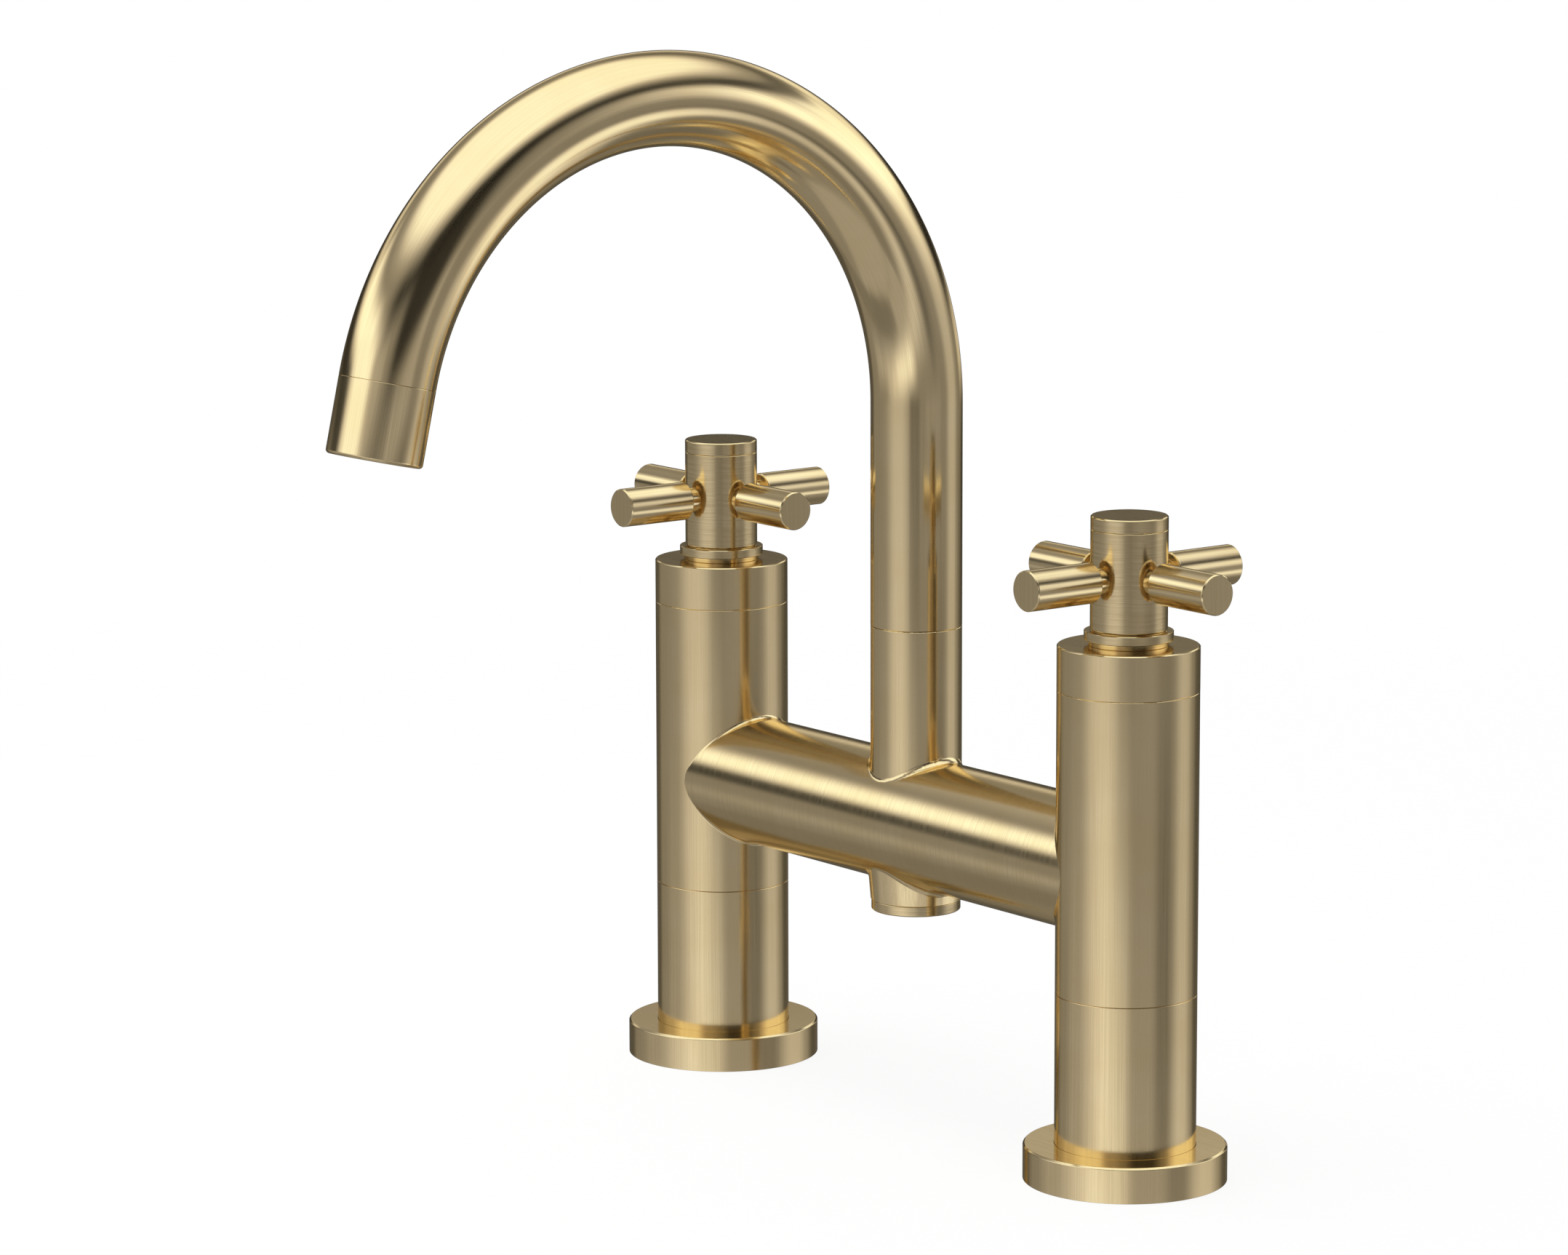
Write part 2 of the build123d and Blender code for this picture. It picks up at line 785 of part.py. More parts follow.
def make_spout_spigot():
    foot_z = swivel_socket_floor_z + spigot_foot_gap
    top_z = spout_base_z + spigot_in_tube
    half_groove = swivel_o_ring_wire_r + o_ring_slack
    half_grub_groove = grub_r + turning_gap
    o_ring_groove_r = spigot_r - 2 * swivel_o_ring_wire_r - seal_gap
    with BuildPart() as spigot:
        turn(
            upright(0),
            (foot_z, riser_bore_r),
            (foot_z, spigot_r),
            (spout_base_z, spigot_r),
            (spout_base_z, spout_bore_r - thread_gap),
            (top_z, spout_bore_r - thread_gap),
            (top_z, riser_bore_r),
        )
        for middle_z in swivel_o_ring_z:
            start = middle_z - half_groove
            end = middle_z + half_groove
            ring(upright(0), start, end, o_ring_groove_r, swivel_socket_r, mode=Mode.SUBTRACT)
        start = grub_z - half_grub_groove
        end = grub_z + half_grub_groove
        ring(upright(0), start, end, grub_groove_r, swivel_socket_r, mode=Mode.SUBTRACT)
    write(spigot, "spout_spigot")


def make_spout_o_rings():
    with BuildPart() as o_rings:
        with Locations(*[(0, 0, middle_z) for middle_z in swivel_o_ring_z]):
            Torus(spigot_r - swivel_o_ring_wire_r, swivel_o_ring_wire_r)
    write(o_rings, "spout_o_rings")


def make_spout_bearing_ring():
    outer_r = bearing_seat_r - thread_gap
    with BuildPart() as bearing:
        ring(upright(0), swivel_seam_z - bearing_height, spout_base_z, bearing_bore_r, outer_r)
    write(bearing, "spout_bearing_ring")


def make_spout_grub_screw():
    outer_y = spout_r - grub_inset
    length = outer_y - grub_groove_r - turning_gap
    with BuildPart() as grub:
        with BuildSketch(Plane(origin=(0, outer_y, grub_z), z_dir=(0, -1, 0))):
            Circle(grub_r)
        extrude(amount=length)
        with BuildSketch(Plane(origin=(0, outer_y, grub_z), z_dir=(0, -1, 0))):
            RegularPolygon(radius=grub_key_across_flats / 2, side_count=6, major_radius=False)
        extrude(amount=grub_key_depth, mode=Mode.SUBTRACT)
    write(grub, "spout_grub_screw")


def make_spout_tube():
    with BuildPart() as tube:
        with BuildSketch(Plane.XY.offset(spout_base_z)):
            Circle(spout_r)
            Circle(spout_bore_r, mode=Mode.SUBTRACT)
        extrude(amount=bend_z - spout_base_z)
        with BuildSketch(Plane.XY.offset(bend_z)):
            Circle(spout_r)
            Circle(spout_bore_r, mode=Mode.SUBTRACT)
        revolve(axis=Axis((0, -bend_r, bend_z), (1, 0, 0)), revolution_arc=bend_angle)
        chamfer(rims(tube, spout_r, spout_base_z), seam_break)
        with Locations(outlet_plane):
            Hole(nozzle_socket_r, depth=nozzle_spigot_length + depth_gap)
    write(tube, "spout_tube")


def make_spout_nozzle():
    with BuildPart() as nozzle:
        turn(
            along_outlet,
            (-nozzle_spigot_length, nozzle_bore_r),
            (-nozzle_spigot_length, nozzle_socket_r - thread_gap),
            (0, nozzle_socket_r - thread_gap),
            (0, spout_r),
            (nozzle_length, spout_r),
            (nozzle_length, mouth_r),
            (nozzle_shoulder, mouth_r),
            (nozzle_shoulder, nozzle_bore_r),
        )
        outer_rims = nozzle.edges().filter_by(lambda edge: is_rim(edge, spout_r))
        chamfer(outer_rims.sort_by(Axis.Z)[-1], seam_break)
        outer_rims = nozzle.edges().filter_by(lambda edge: is_rim(edge, spout_r))
        fillet(outer_rims.sort_by(Axis.Z)[0], nozzle_round)
    write(nozzle, "spout_nozzle")


def make_aerator_washer():
    end = nozzle_shoulder + aerator_washer_height
    with BuildPart() as washer:
        ring(along_outlet, nozzle_shoulder, end, nozzle_bore_r, mouth_r - seal_gap)
    write(washer, "aerator_washer")


def make_aerator():
    start = nozzle_shoulder + aerator_washer_height
    end = nozzle_length - aerator_recess
    hollow_r = aerator_r - aerator_wall
    with BuildPart() as aerator:
        turn(
            along_outlet,
            (start, hollow_r),
            (start, aerator_r),
            (end, aerator_r),
            (end, 0),
            (end - aerator_plate, 0),
            (end - aerator_plate, hollow_r),
        )
        with Locations(outlet_plane.offset(end)):
            Hole(aerator_hole_r, depth=aerator_plate)
            rings = int((hollow_r - aerator_hole_r) / aerator_hole_pitch)
            for number in range(1, rings + 1):
                with PolarLocations(number * aerator_hole_pitch, 6 * number):
                    Hole(aerator_hole_r, depth=aerator_plate)
    write(aerator, "aerator")


# Plug under the bridge


def make_blanking_plug():
    head_z = boss_seam_z - plug_head_height
    with BuildPart() as plug:
        turn(
            upright(0),
            (head_z, 0),
            (head_z, plug_r),
            (boss_seam_z, plug_r),
            (boss_seam_z, boss_bore_r - thread_gap),
            (boss_seam_z + plug_shank_length, boss_bore_r - thread_gap),
            (boss_seam_z + plug_shank_length, 0),
        )
        chamfer(rims(plug, plug_r, head_z), edge_break)
        chamfer(rims(plug, plug_r, boss_seam_z), seam_break)
        with BuildSketch(Plane.XY.offset(head_z)):
            RegularPolygon(radius=plug_key_across_flats / 2, side_count=6, major_radius=False)
        extrude(amount=plug_key_depth, mode=Mode.SUBTRACT)
    write(plug, "blanking_plug")


def make_plug_o_ring():
    with BuildPart(Plane.XY.offset(boss_seam_z + plug_o_ring_wire_r + seal_gap / 2)) as o_ring:
        Torus(boss_bore_r + plug_o_ring_wire_r, plug_o_ring_wire_r)
    write(o_ring, "plug_o_ring")


side_pieces = (
    make_deck_seal,
    make_rosette,
    make_leg,
    make_tail,
    make_clamp_washer,
    make_back_nut,
    make_shroud,
    make_valve_body,
    make_valve_o_ring,
    make_seat_seal,
    make_fixed_disc,
    make_moving_disc,
    make_spindle,
    make_spindle_o_ring,
    make_spindle_clip,
    make_collar,
    make_trim_ring,
    make_hub,
    make_handle_screw,
    make_cap,
)

os.makedirs("parts", exist_ok=True)
for side, x in sides.items():
    for make_piece in side_pieces:
        make_piece(side, x)
    for name, angle in arm_ways.items():
        make_arm(side, x, name, angle)
make_mixer_body()
make_spout_spigot()
make_spout_o_rings()
make_spout_bearing_ring()
make_spout_grub_screw()
make_spout_tube()
make_spout_nozzle()
make_aerator_washer()
make_aerator()
make_blanking_plug()
make_plug_o_ring()
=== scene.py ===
import json
import math

import bpy
import numpy as np
from mathutils import Matrix, Vector

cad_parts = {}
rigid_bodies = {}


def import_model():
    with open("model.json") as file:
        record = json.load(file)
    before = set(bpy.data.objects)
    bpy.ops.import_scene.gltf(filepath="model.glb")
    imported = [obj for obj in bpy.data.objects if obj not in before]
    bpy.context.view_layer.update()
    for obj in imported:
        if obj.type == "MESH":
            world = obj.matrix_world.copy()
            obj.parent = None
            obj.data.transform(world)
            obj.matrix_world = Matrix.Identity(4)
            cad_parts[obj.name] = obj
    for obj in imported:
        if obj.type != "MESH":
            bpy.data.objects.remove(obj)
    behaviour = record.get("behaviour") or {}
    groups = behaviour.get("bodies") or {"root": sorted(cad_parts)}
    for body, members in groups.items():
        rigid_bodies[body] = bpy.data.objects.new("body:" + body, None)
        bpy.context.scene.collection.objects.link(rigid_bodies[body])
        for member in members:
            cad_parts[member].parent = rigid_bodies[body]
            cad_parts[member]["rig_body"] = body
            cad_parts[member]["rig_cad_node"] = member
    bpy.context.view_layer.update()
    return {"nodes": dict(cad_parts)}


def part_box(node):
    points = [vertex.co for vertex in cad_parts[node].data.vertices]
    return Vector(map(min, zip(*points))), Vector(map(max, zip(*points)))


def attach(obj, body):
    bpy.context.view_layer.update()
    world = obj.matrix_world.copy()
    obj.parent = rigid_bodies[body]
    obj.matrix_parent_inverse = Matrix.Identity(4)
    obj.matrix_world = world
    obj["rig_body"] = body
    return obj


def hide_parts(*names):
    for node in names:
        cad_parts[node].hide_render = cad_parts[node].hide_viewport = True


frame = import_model()
nodes = frame["nodes"]

# Rosettes: the round covers that stand on the deck and hide its two holes. Each is turned from
# brass bar, brushed, plated champagne gold, and dropped over the leg before the pillar is fixed.
mm = 0.001
weld = 0.001 * mm


def bottom(label):
    """The height of a node's lowest point in mm."""
    return round(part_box(label)[0].z / mm, 3)


def top(label):
    """The height of a node's highest point in mm."""
    return round(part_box(label)[1].z / mm, 3)


def middle_x(label):
    """A node's middle along the bridge in mm."""
    low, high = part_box(label)
    return round((low.x + high.x) / 2 / mm, 3)


def radius_of(label):
    """Half a node's width along the bridge in mm."""
    low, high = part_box(label)
    return round((high.x - low.x) / 2 / mm, 3)


pillars = {"hot": middle_x("hot_rosette"), "cold": middle_x("cold_rosette")}
rosette_r = radius_of("hot_rosette")
rosette_height = top("hot_rosette")
rosette_rim = 1.7
rosette_recess = 4.6
rosette_bore_r = 19.05
rosette_chamfer = 0.5
corner_from = math.radians(25)
# The least cosine between two slopes of one wall, and between a corner and its row's middle.
same_wall = 0.96
same_way = 0.99
round_segments = 144
thin_segments = 96


def softened(outline, corner):
    """The outline with each corner of 25 degrees or more cut by a flat, a third of a side at most."""
    closed = outline[0] == outline[-1]
    points = [Vector(point) for point in (outline[:-1] if closed else outline)]
    rows = []
    for i, point in enumerate(points):
        if not closed and i in (0, len(points) - 1):
            rows.append(point)
            continue
        back = points[i - 1] - point
        on = points[(i + 1) % len(points)] - point
        if back.angle(-on) < corner_from:
            rows.append(point)
            continue
        rows.append(point + back.normalized() * min(corner, back.length / 3))
        rows.append(point + on.normalized() * min(corner, on.length / 3))
    if closed:
        rows.append(rows[0])
    return [tuple(row) for row in rows]


def shade_as_turned(piece):
    """Shade a turned piece exactly round. Rows whose slopes are 16 degrees apart or less blend."""
    bpy.ops.object.shade_smooth()
    mesh = piece.data
    spots = [(round(v.co.xy.length / mm, 3), round(v.co.z / mm, 3)) for v in mesh.vertices]
    outs = [vertex.co.xy.normalized() for vertex in mesh.vertices]
    meeting = {}
    slopes = []
    for face in mesh.polygons:
        out = face.center.xy.normalized()
        is_row = all(outs[v].dot(out) > same_way for v in face.vertices)
        slope = Vector((face.normal.xy.dot(out), face.normal.z)) if is_row else None
        slopes.append(slope)
        if is_row:
            for v in face.vertices:
                meeting.setdefault(spots[v], set()).add((round(slope.x, 3), round(slope.y, 3)))
    ways = []
    for face, slope in zip(mesh.polygons, slopes):
        for v in face.vertices:
            if slope is None:
                ways.append(tuple(face.normal))
                continue
            near = [Vector(other) for other in meeting[spots[v]] if slope.dot(other) > same_wall]
            joint = sum(near, Vector((0, 0))).normalized()
            ways.append((joint.x * outs[v].x, joint.x * outs[v].y, joint.y))
    mesh.normals_split_custom_set(ways)


def turned(name, outline, corner=0.06, segments=round_segments):
    """Turn an outline of (radius, height) points in mm upright on the origin, as on a lathe."""
    rows = softened(outline, corner)
    radius, height = rows[0]
    bpy.ops.object.select_all(action="DESELECT")
    bpy.ops.mesh.primitive_circle_add(
        vertices=segments, radius=radius * mm, location=(0, 0, height * mm)
    )
    piece = bpy.context.object
    piece.name = name
    bpy.ops.object.mode_set(mode="EDIT")
    for next_radius, next_height in rows[1:]:
        rise = (0, 0, (next_height - height) * mm)
        bpy.ops.mesh.extrude_edges_move(TRANSFORM_OT_translate={"value": rise})
        share = next_radius / radius
        centre = (0, 0, next_height * mm)
        bpy.ops.transform.resize(value=(share, share, 1), center_override=centre)
        radius, height = next_radius, next_height
    bpy.ops.mesh.select_all(action="SELECT")
    bpy.ops.mesh.remove_doubles(threshold=weld)
    bpy.ops.mesh.fill_holes(sides=0)
    bpy.ops.mesh.select_all(action="SELECT")
    bpy.ops.mesh.normals_make_consistent(inside=False)
    bpy.ops.object.mode_set(mode="OBJECT")
    bpy.ops.object.transform_apply(location=True)
    shade_as_turned(piece)
    return piece


def keep_grain(piece):
    """Store each point's place on the lathe, which the brushing follows wherever the piece goes."""
    points = np.empty(len(piece.data.vertices) * 3, np.float32)
    piece.data.vertices.foreach_get("co", points)
    grain = piece.data.attributes.new("grain", "FLOAT_VECTOR", "POINT")
    grain.data.foreach_set("vector", points)


def copied(model, name, x=0.0, turn=None):
    """Put a copy of a piece, with a mesh of its own, in its place along the bridge."""
    piece = model.copy()
    piece.data = model.data.copy()
    piece.name = name
    piece.data.name = name
    bpy.context.scene.collection.objects.link(piece)
    if turn is not None:
        piece.data.transform(turn)
    piece.data.transform(Matrix.Translation((x * mm, 0, 0)))
    return piece


def linear(hex_colour):
    """An sRGB hex value as the linear colour that a shader takes."""
    parts = [int(hex_colour[i : i + 2], 16) / 255 for i in (1, 3, 5)]
    return [p / 12.92 if p <= 0.04045 else ((p + 0.055) / 1.055) ** 2.4 for p in parts] + [1.0]


def node(tree, kind, links=None, values=None, **settings):
    """Add a node with its settings, its values and the sockets that feed it."""
    made = tree.nodes.new(kind)
    for name, setting in settings.items():
        setattr(made, name, setting)
    for socket, value in (values or {}).items():
        made.inputs[socket].default_value = value
    for socket, source in (links or {}).items():
        tree.links.new(source, made.inputs[socket])
    return made


# Satin champagne gold: brass brushed with a fine abrasive belt, then plated by vapour deposition,
# so that it keeps the metal's gloss and shows its scratches as fine light and dark lines. Real
# lines lie 0.1 to 0.2 mm apart, and these are drawn two to three times as wide, so that they show.
# Seen aslant, the plating stays gold, where bare metal would turn white.
gold = "#EAD4A9"
gold_in_scratches = "#C4AE84"
gold_worn = "#DDC494"
gold_aslant = "#F7EDD6"
gloss_spread = 0.035
worn_share = 0.4
worn_spots_per_metre = 60.0


def brushed_gold(name, line_spacing, line_length, way, contrast, depth, roughness):
    """Champagne gold, brushed along the way "axis", "round" or "straight", its lines sized in mm."""
    material = bpy.data.materials.new(name)
    material.use_nodes = True
    tree = material.node_tree
    shader = tree.nodes["Principled BSDF"]
    shader.inputs["Metallic"].default_value = 1.0
    shader.inputs["Specular Tint"].default_value = linear(gold_aslant)
    fine = 1 / (line_spacing * mm)
    long = 1 / (line_length * mm)
    stretch = {
        "axis": (fine, fine, long),
        "round": (long, long, fine),
        "straight": (long, fine, long),
    }
    grain = node(tree, "ShaderNodeAttribute", attribute_name="grain").outputs["Vector"]
    stretched = node(tree, "ShaderNodeMapping", {"Vector": grain}, {"Scale": stretch[way]})
    lines = node(
        tree,
        "ShaderNodeTexNoise",
        {"Vector": stretched.outputs["Vector"]},
        {"Scale": 1.0, "Detail": 3.0, "Roughness": 0.6},
    ).outputs["Fac"]
    cloud = node(
        tree,
        "ShaderNodeTexNoise",
        {"Vector": grain},
        {"Scale": worn_spots_per_metre, "Detail": 2.0},
    ).outputs["Fac"]
    scratched = node(
        tree,
        "ShaderNodeMapRange",
        {"Value": lines},
        {"From Min": 0.35, "From Max": 0.65, "To Min": 0.0, "To Max": contrast},
    )
    rubbed = node(
        tree,
        "ShaderNodeMapRange",
        {"Value": cloud},
        {"From Min": 0.35, "From Max": 0.65, "To Min": 0.0, "To Max": worn_share},
    )
    lined = node(
        tree,
        "ShaderNodeMix",
        {0: scratched.outputs["Result"]},
        {6: linear(gold), 7: linear(gold_in_scratches)},
        data_type="RGBA",
    )
    toned = node(
        tree,
        "ShaderNodeMix",
        {0: rubbed.outputs["Result"], 6: lined.outputs[2]},
        {7: linear(gold_worn)},
        data_type="RGBA",
    )
    gloss = node(
        tree,
        "ShaderNodeMapRange",
        {"Value": lines},
        {
            "From Min": 0.3,
            "From Max": 0.7,
            "To Min": roughness - gloss_spread,
            "To Max": roughness + gloss_spread,
        },
    )
    scratches = node(
        tree, "ShaderNodeBump", {"Height": lines}, {"Strength": 1.0, "Distance": depth * mm}
    )
    tree.links.new(toned.outputs[2], shader.inputs["Base Color"])
    tree.links.new(gloss.outputs["Result"], shader.inputs["Roughness"])
    tree.links.new(scratches.outputs["Normal"], shader.inputs["Normal"])
    return material


gold_along = brushed_gold("satin_gold_brushed_along", 0.35, 45.0, "axis", 0.28, 0.001, 0.17)
gold_round = brushed_gold("satin_gold_brushed_round", 0.5, 14.0, "round", 0.65, 0.006, 0.165)
gold_flat = brushed_gold("satin_gold_brushed_flat", 0.35, 20.0, "straight", 0.45, 0.001, 0.15)
level_within = 0.01


def gild(piece, wall_gold):
    """Give a piece its brushed gold: one way on its walls, straight lines on its flat ends."""
    piece.data.materials.clear()
    piece.data.materials.append(wall_gold)
    piece.data.materials.append(gold_flat)
    grain = piece.data.attributes["grain"].data
    for face in piece.data.polygons:
        heights = [grain[v].vector.z for v in face.vertices]
        face.material_index = int(max(heights) - min(heights) < level_within * mm)


recess_r = rosette_r - rosette_rim
rosette = turned(
    "rosette",
    [
        (recess_r, 0),
        (rosette_r, 0),
        (rosette_r, rosette_height - rosette_chamfer),
        (rosette_r - rosette_chamfer, rosette_height),
        (rosette_bore_r, rosette_height),
        (rosette_bore_r, rosette_recess),
        (recess_r, rosette_recess),
        (recess_r, 0),
    ],
)
keep_grain(rosette)
gild(rosette, gold_along)
for side, x in pillars.items():
    cover = copied(rosette, f"{side}_rosette_cover", x)
    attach(cover, "mixer")
    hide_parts(f"{side}_rosette")
bpy.data.objects.remove(rosette)

# Legs: the lowest length of each pillar, turned from brass tube and brushed along its length. A
# foot flange stands on the rubber seal inside the rosette, and a spigot goes into the mixer body.
# The top edge leans 21 degrees in, steep enough to keep out of the wall's round shading.
pillar_r = radius_of("hot_shroud")
leg_seam = bottom("mixer_body")
seam_break = 0.15
leg_break = 0.045
leg_break_height = 0.12
foot_r = radius_of("hot_leg")
foot_bottom = bottom("hot_leg")
foot_top = 4.5
leg_spigot_r = 15.0
leg_spigot_top = top("hot_leg")
leg_bore_r = 9.0
leg_socket_r = 13.27
leg_socket_top = 16.3

leg = turned(
    "leg",
    [
        (leg_socket_r, foot_bottom),
        (foot_r, foot_bottom),
        (foot_r, foot_top),
        (pillar_r, foot_top),
        (pillar_r, leg_seam - leg_break_height),
        (pillar_r - leg_break, leg_seam),
        (leg_spigot_r, leg_seam),
        (leg_spigot_r, leg_spigot_top),
        (leg_bore_r, leg_spigot_top),
        (leg_bore_r, leg_socket_top),
        (leg_socket_r, leg_socket_top),
        (leg_socket_r, foot_bottom),
    ],
    corner=0.04,
)
keep_grain(leg)
gild(leg, gold_along)
for side, x in pillars.items():
    tube = copied(leg, f"{side}_leg_tube", x)
    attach(tube, "mixer")
    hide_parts(f"{side}_leg")
bpy.data.objects.remove(leg)

# Mixer body: one brass casting with the middle of both pillars, the bridge between them, the foot
# of the riser and the boss below, its joints blended by small fillets and linished by hand. It is
# the CAD solid's own mesh, with each wall's true roundness in its shading.
bridge_z = 82.8
bridge_r = 18.0
riser_r = radius_of("spout_tube")
boss_r = 12.6
boss_seam = 60.9
boss_draft = math.radians(5.0)
on_wall = 0.03
# The least cosine between a face and the way of the wall or blend that it belongs to.
wall_facing = 0.93
blend_facing = 0.9
blend_width = 1.2
casting_weld = 0.002 * mm
pillar_axis = Vector((0, 0, 1))
bridge_axis = Vector((1, 0, 0))
round_walls = [
    (Vector((pillars["hot"], 0, 0)), pillar_axis, pillar_r),
    (Vector((pillars["cold"], 0, 0)), pillar_axis, pillar_r),
    (Vector((0, 0, bridge_z)), bridge_axis, bridge_r),
    (Vector((0, 0, 0)), pillar_axis, riser_r),
]


def merged_copy(label, name):
    """An unmarked copy of a CAD node with its loose triangles joined, ready for its own shading."""
    bpy.ops.object.select_all(action="DESELECT")
    piece = copied(nodes[label], name)
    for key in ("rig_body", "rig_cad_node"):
        del piece[key]
    bpy.context.view_layer.objects.active = piece
    piece.select_set(True)
    bpy.ops.object.mode_set(mode="EDIT")
    bpy.ops.mesh.select_all(action="SELECT")
    bpy.ops.mesh.customdata_custom_splitnormals_clear()
    bpy.ops.mesh.remove_doubles(threshold=casting_weld)
    bpy.ops.object.mode_set(mode="OBJECT")
    bpy.ops.object.shade_smooth()
    return piece


def wall_normal(point, wall):
    """How far a point in mm lies off a round wall, and the wall's outward way there."""
    foot, axis, radius = wall
    out = point - foot
    out -= axis * out.dot(axis)
    return abs(out.length - radius), out.normalized()


def boss_normal(point):
    """How far a point in mm lies off the drafted wall of the boss, and its outward way there."""
    out = Vector((point.x, point.y, 0))
    radius = boss_r + (point.z - boss_seam) * math.tan(boss_draft)
    way = out.normalized() * math.cos(boss_draft) - pillar_axis * math.sin(boss_draft)
    beside_boss = boss_seam - on_wall < point.z < bridge_z
    return (abs(out.length - radius) if beside_boss else bridge_r), way


casting = merged_copy("mixer_body", "mixer_casting")
mesh = casting.data
near_walls = []
for vertex in mesh.vertices:
    found = [wall_normal(vertex.co / mm, wall) for wall in round_walls]
    found.append(boss_normal(vertex.co / mm))
    near_walls.append([way for off, way in found if off < on_wall])
blended = [Vector() for _ in mesh.vertices]
for face in mesh.polygons:
    for v in face.vertices:
        blended[v] += face.normal * face.area
ways = []
for face in mesh.polygons:
    for v in face.vertices:
        walls_here = [way for way in near_walls[v] if way.dot(face.normal) > wall_facing]
        own = blended[v].normalized()
        if walls_here:
            ways.append(max(walls_here, key=lambda way: way.dot(face.normal)))
        elif not near_walls[v] and own.dot(face.normal) > blend_facing:
            ways.append(own)
        else:
            ways.append(face.normal.copy())
mesh.normals_split_custom_set(ways)

gold_across = brushed_gold("satin_gold_brushed_across", 0.3, 14.0, "round", 0.28, 0.001, 0.17)
mesh.materials.clear()
mesh.materials.append(gold_along)
mesh.materials.append(gold_across)
grain = mesh.attributes.new("grain", "FLOAT_VECTOR", "CORNER").data
for face in mesh.polygons:
    centre = face.center / mm
    side_x = pillars["cold"] if centre.x > 0 else pillars["hot"]
    on_pillar = math.hypot(centre.x - side_x, centre.y) < pillar_r + blend_width / 2
    beyond_bridge = abs(centre.z - bridge_z) > bridge_r - blend_width
    on_middle = math.hypot(centre.x, centre.y) < riser_r + blend_width and beyond_bridge
    face.material_index = 0 if on_pillar or on_middle else 1
    for loop in face.loop_indices:
        point = mesh.vertices[mesh.loops[loop].vertex_index].co
        if on_pillar:
            grain[loop].vector = (point.x - side_x * mm, point.y, point.z)
        elif on_middle:
            grain[loop].vector = point
        else:
            grain[loop].vector = (point.y, point.z - bridge_z * mm, point.x)
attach(casting, "mixer")
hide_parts("mixer_body")

# Shrouds: thin turned covers over the valves, screwed on the body's necks by hand. They carry on
# the pillar's round wall above a fine seam, with the same brushing along its length.
shroud_seam = bottom("hot_shroud")
pillar_top = top("hot_shroud")
shroud_bore_r = 16.65
shroud_ceiling = 142.2
shroud_hole_r = 9.7
top_break = 0.3

shroud = turned(
    "shroud",
    [
        (shroud_bore_r, shroud_seam),
        (pillar_r - seam_break, shroud_seam),
        (pillar_r, shroud_seam + seam_break),
        (pillar_r, pillar_top - top_break),
        (pillar_r - top_break, pillar_top),
        (shroud_hole_r, pillar_top),
        (shroud_hole_r, shroud_ceiling),
        (shroud_bore_r, shroud_ceiling),
        (shroud_bore_r, shroud_seam),
    ],
    corner=0.04,
)
keep_grain(shroud)
gild(shroud, gold_along)
for side, x in pillars.items():
    cover = copied(shroud, f"{side}_shroud_cover", x)
    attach(cover, "mixer")
    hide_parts(f"{side}_shroud")
bpy.data.objects.remove(shroud)

# Collars and trim rings: two small turned rings on the valve's neck, which lock the shroud and
# cover the gap under the turning handle, the upper with a low lip in it. Their lines run round.
neck_hole_r = 9.55
lip_r = 10.1
lips = {"collar": 0.0, "trim_ring": 0.2}

for label, node_label in (("locking_collar", "collar"), ("trim_band", "trim_ring")):
    outer = radius_of(f"hot_{node_label}")
    low, high = bottom(f"hot_{node_label}"), top(f"hot_{node_label}")
    rim = [(neck_hole_r, low), (outer, low), (outer, high)]
    lip = [(lip_r, high), (lip_r, high + lips[node_label])] if lips[node_label] else []
    mouth = [(neck_hole_r, high + lips[node_label]), (neck_hole_r, low)]
    ring = turned(label, rim + lip + mouth, corner=0.12)
    keep_grain(ring)
    gild(ring, gold_round)
    for side, x in pillars.items():
        band = copied(ring, f"{side}_{label}", x)
        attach(band, "mixer")
        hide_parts(f"{side}_{node_label}")
    bpy.data.objects.remove(ring)

# Hubs: the middle of each crosshead handle, turned from bar and drilled across for the four arms.
# Fine lathe lines run round it. It is pushed on the spindle's spline and held by a screw.
hub_r = radius_of("hot_hub")

for side, x in pillars.items():
    hub = merged_copy(f"{side}_hub", f"{side}_handle_hub")
    wall = (Vector((x, 0, 0)), pillar_axis, hub_r)
    ways = []
    for face in hub.data.polygons:
        for v in face.vertices:
            off, way = wall_normal(hub.data.vertices[v].co / mm, wall)
            is_wall = off < on_wall and way.dot(face.normal) > wall_facing
            ways.append(way if is_wall else face.normal.copy())
    hub.data.normals_split_custom_set(ways)
    keep_grain(hub)
    for point in hub.data.attributes["grain"].data:
        point.vector.x -= x * mm
    gild(hub, gold_round)
    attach(hub, f"{side}_handle")
    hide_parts(f"{side}_hub")

# Arms: four short bars, turned and brushed along their length, each with a thinner neck and a
# threaded stud that screws into the hub. Their ends are faced off flat with a small chamfer.
arm_r = (top("hot_arm_right") - bottom("hot_arm_right")) / 2
arm_z = bottom("hot_arm_right") + arm_r
arm_reach = middle_x("hot_arm_right") + radius_of("hot_arm_right") - pillars["hot"]
arm_stud_end = middle_x("hot_arm_right") - radius_of("hot_arm_right") - pillars["hot"]
arm_start = 13.5
arm_neck_r = 3.5
arm_neck_seat = 9.6
arm_stud_r = 2.5
arm_chamfer = 0.3
arm_ways = {"right": 0, "back": 90, "left": 180, "front": 270}

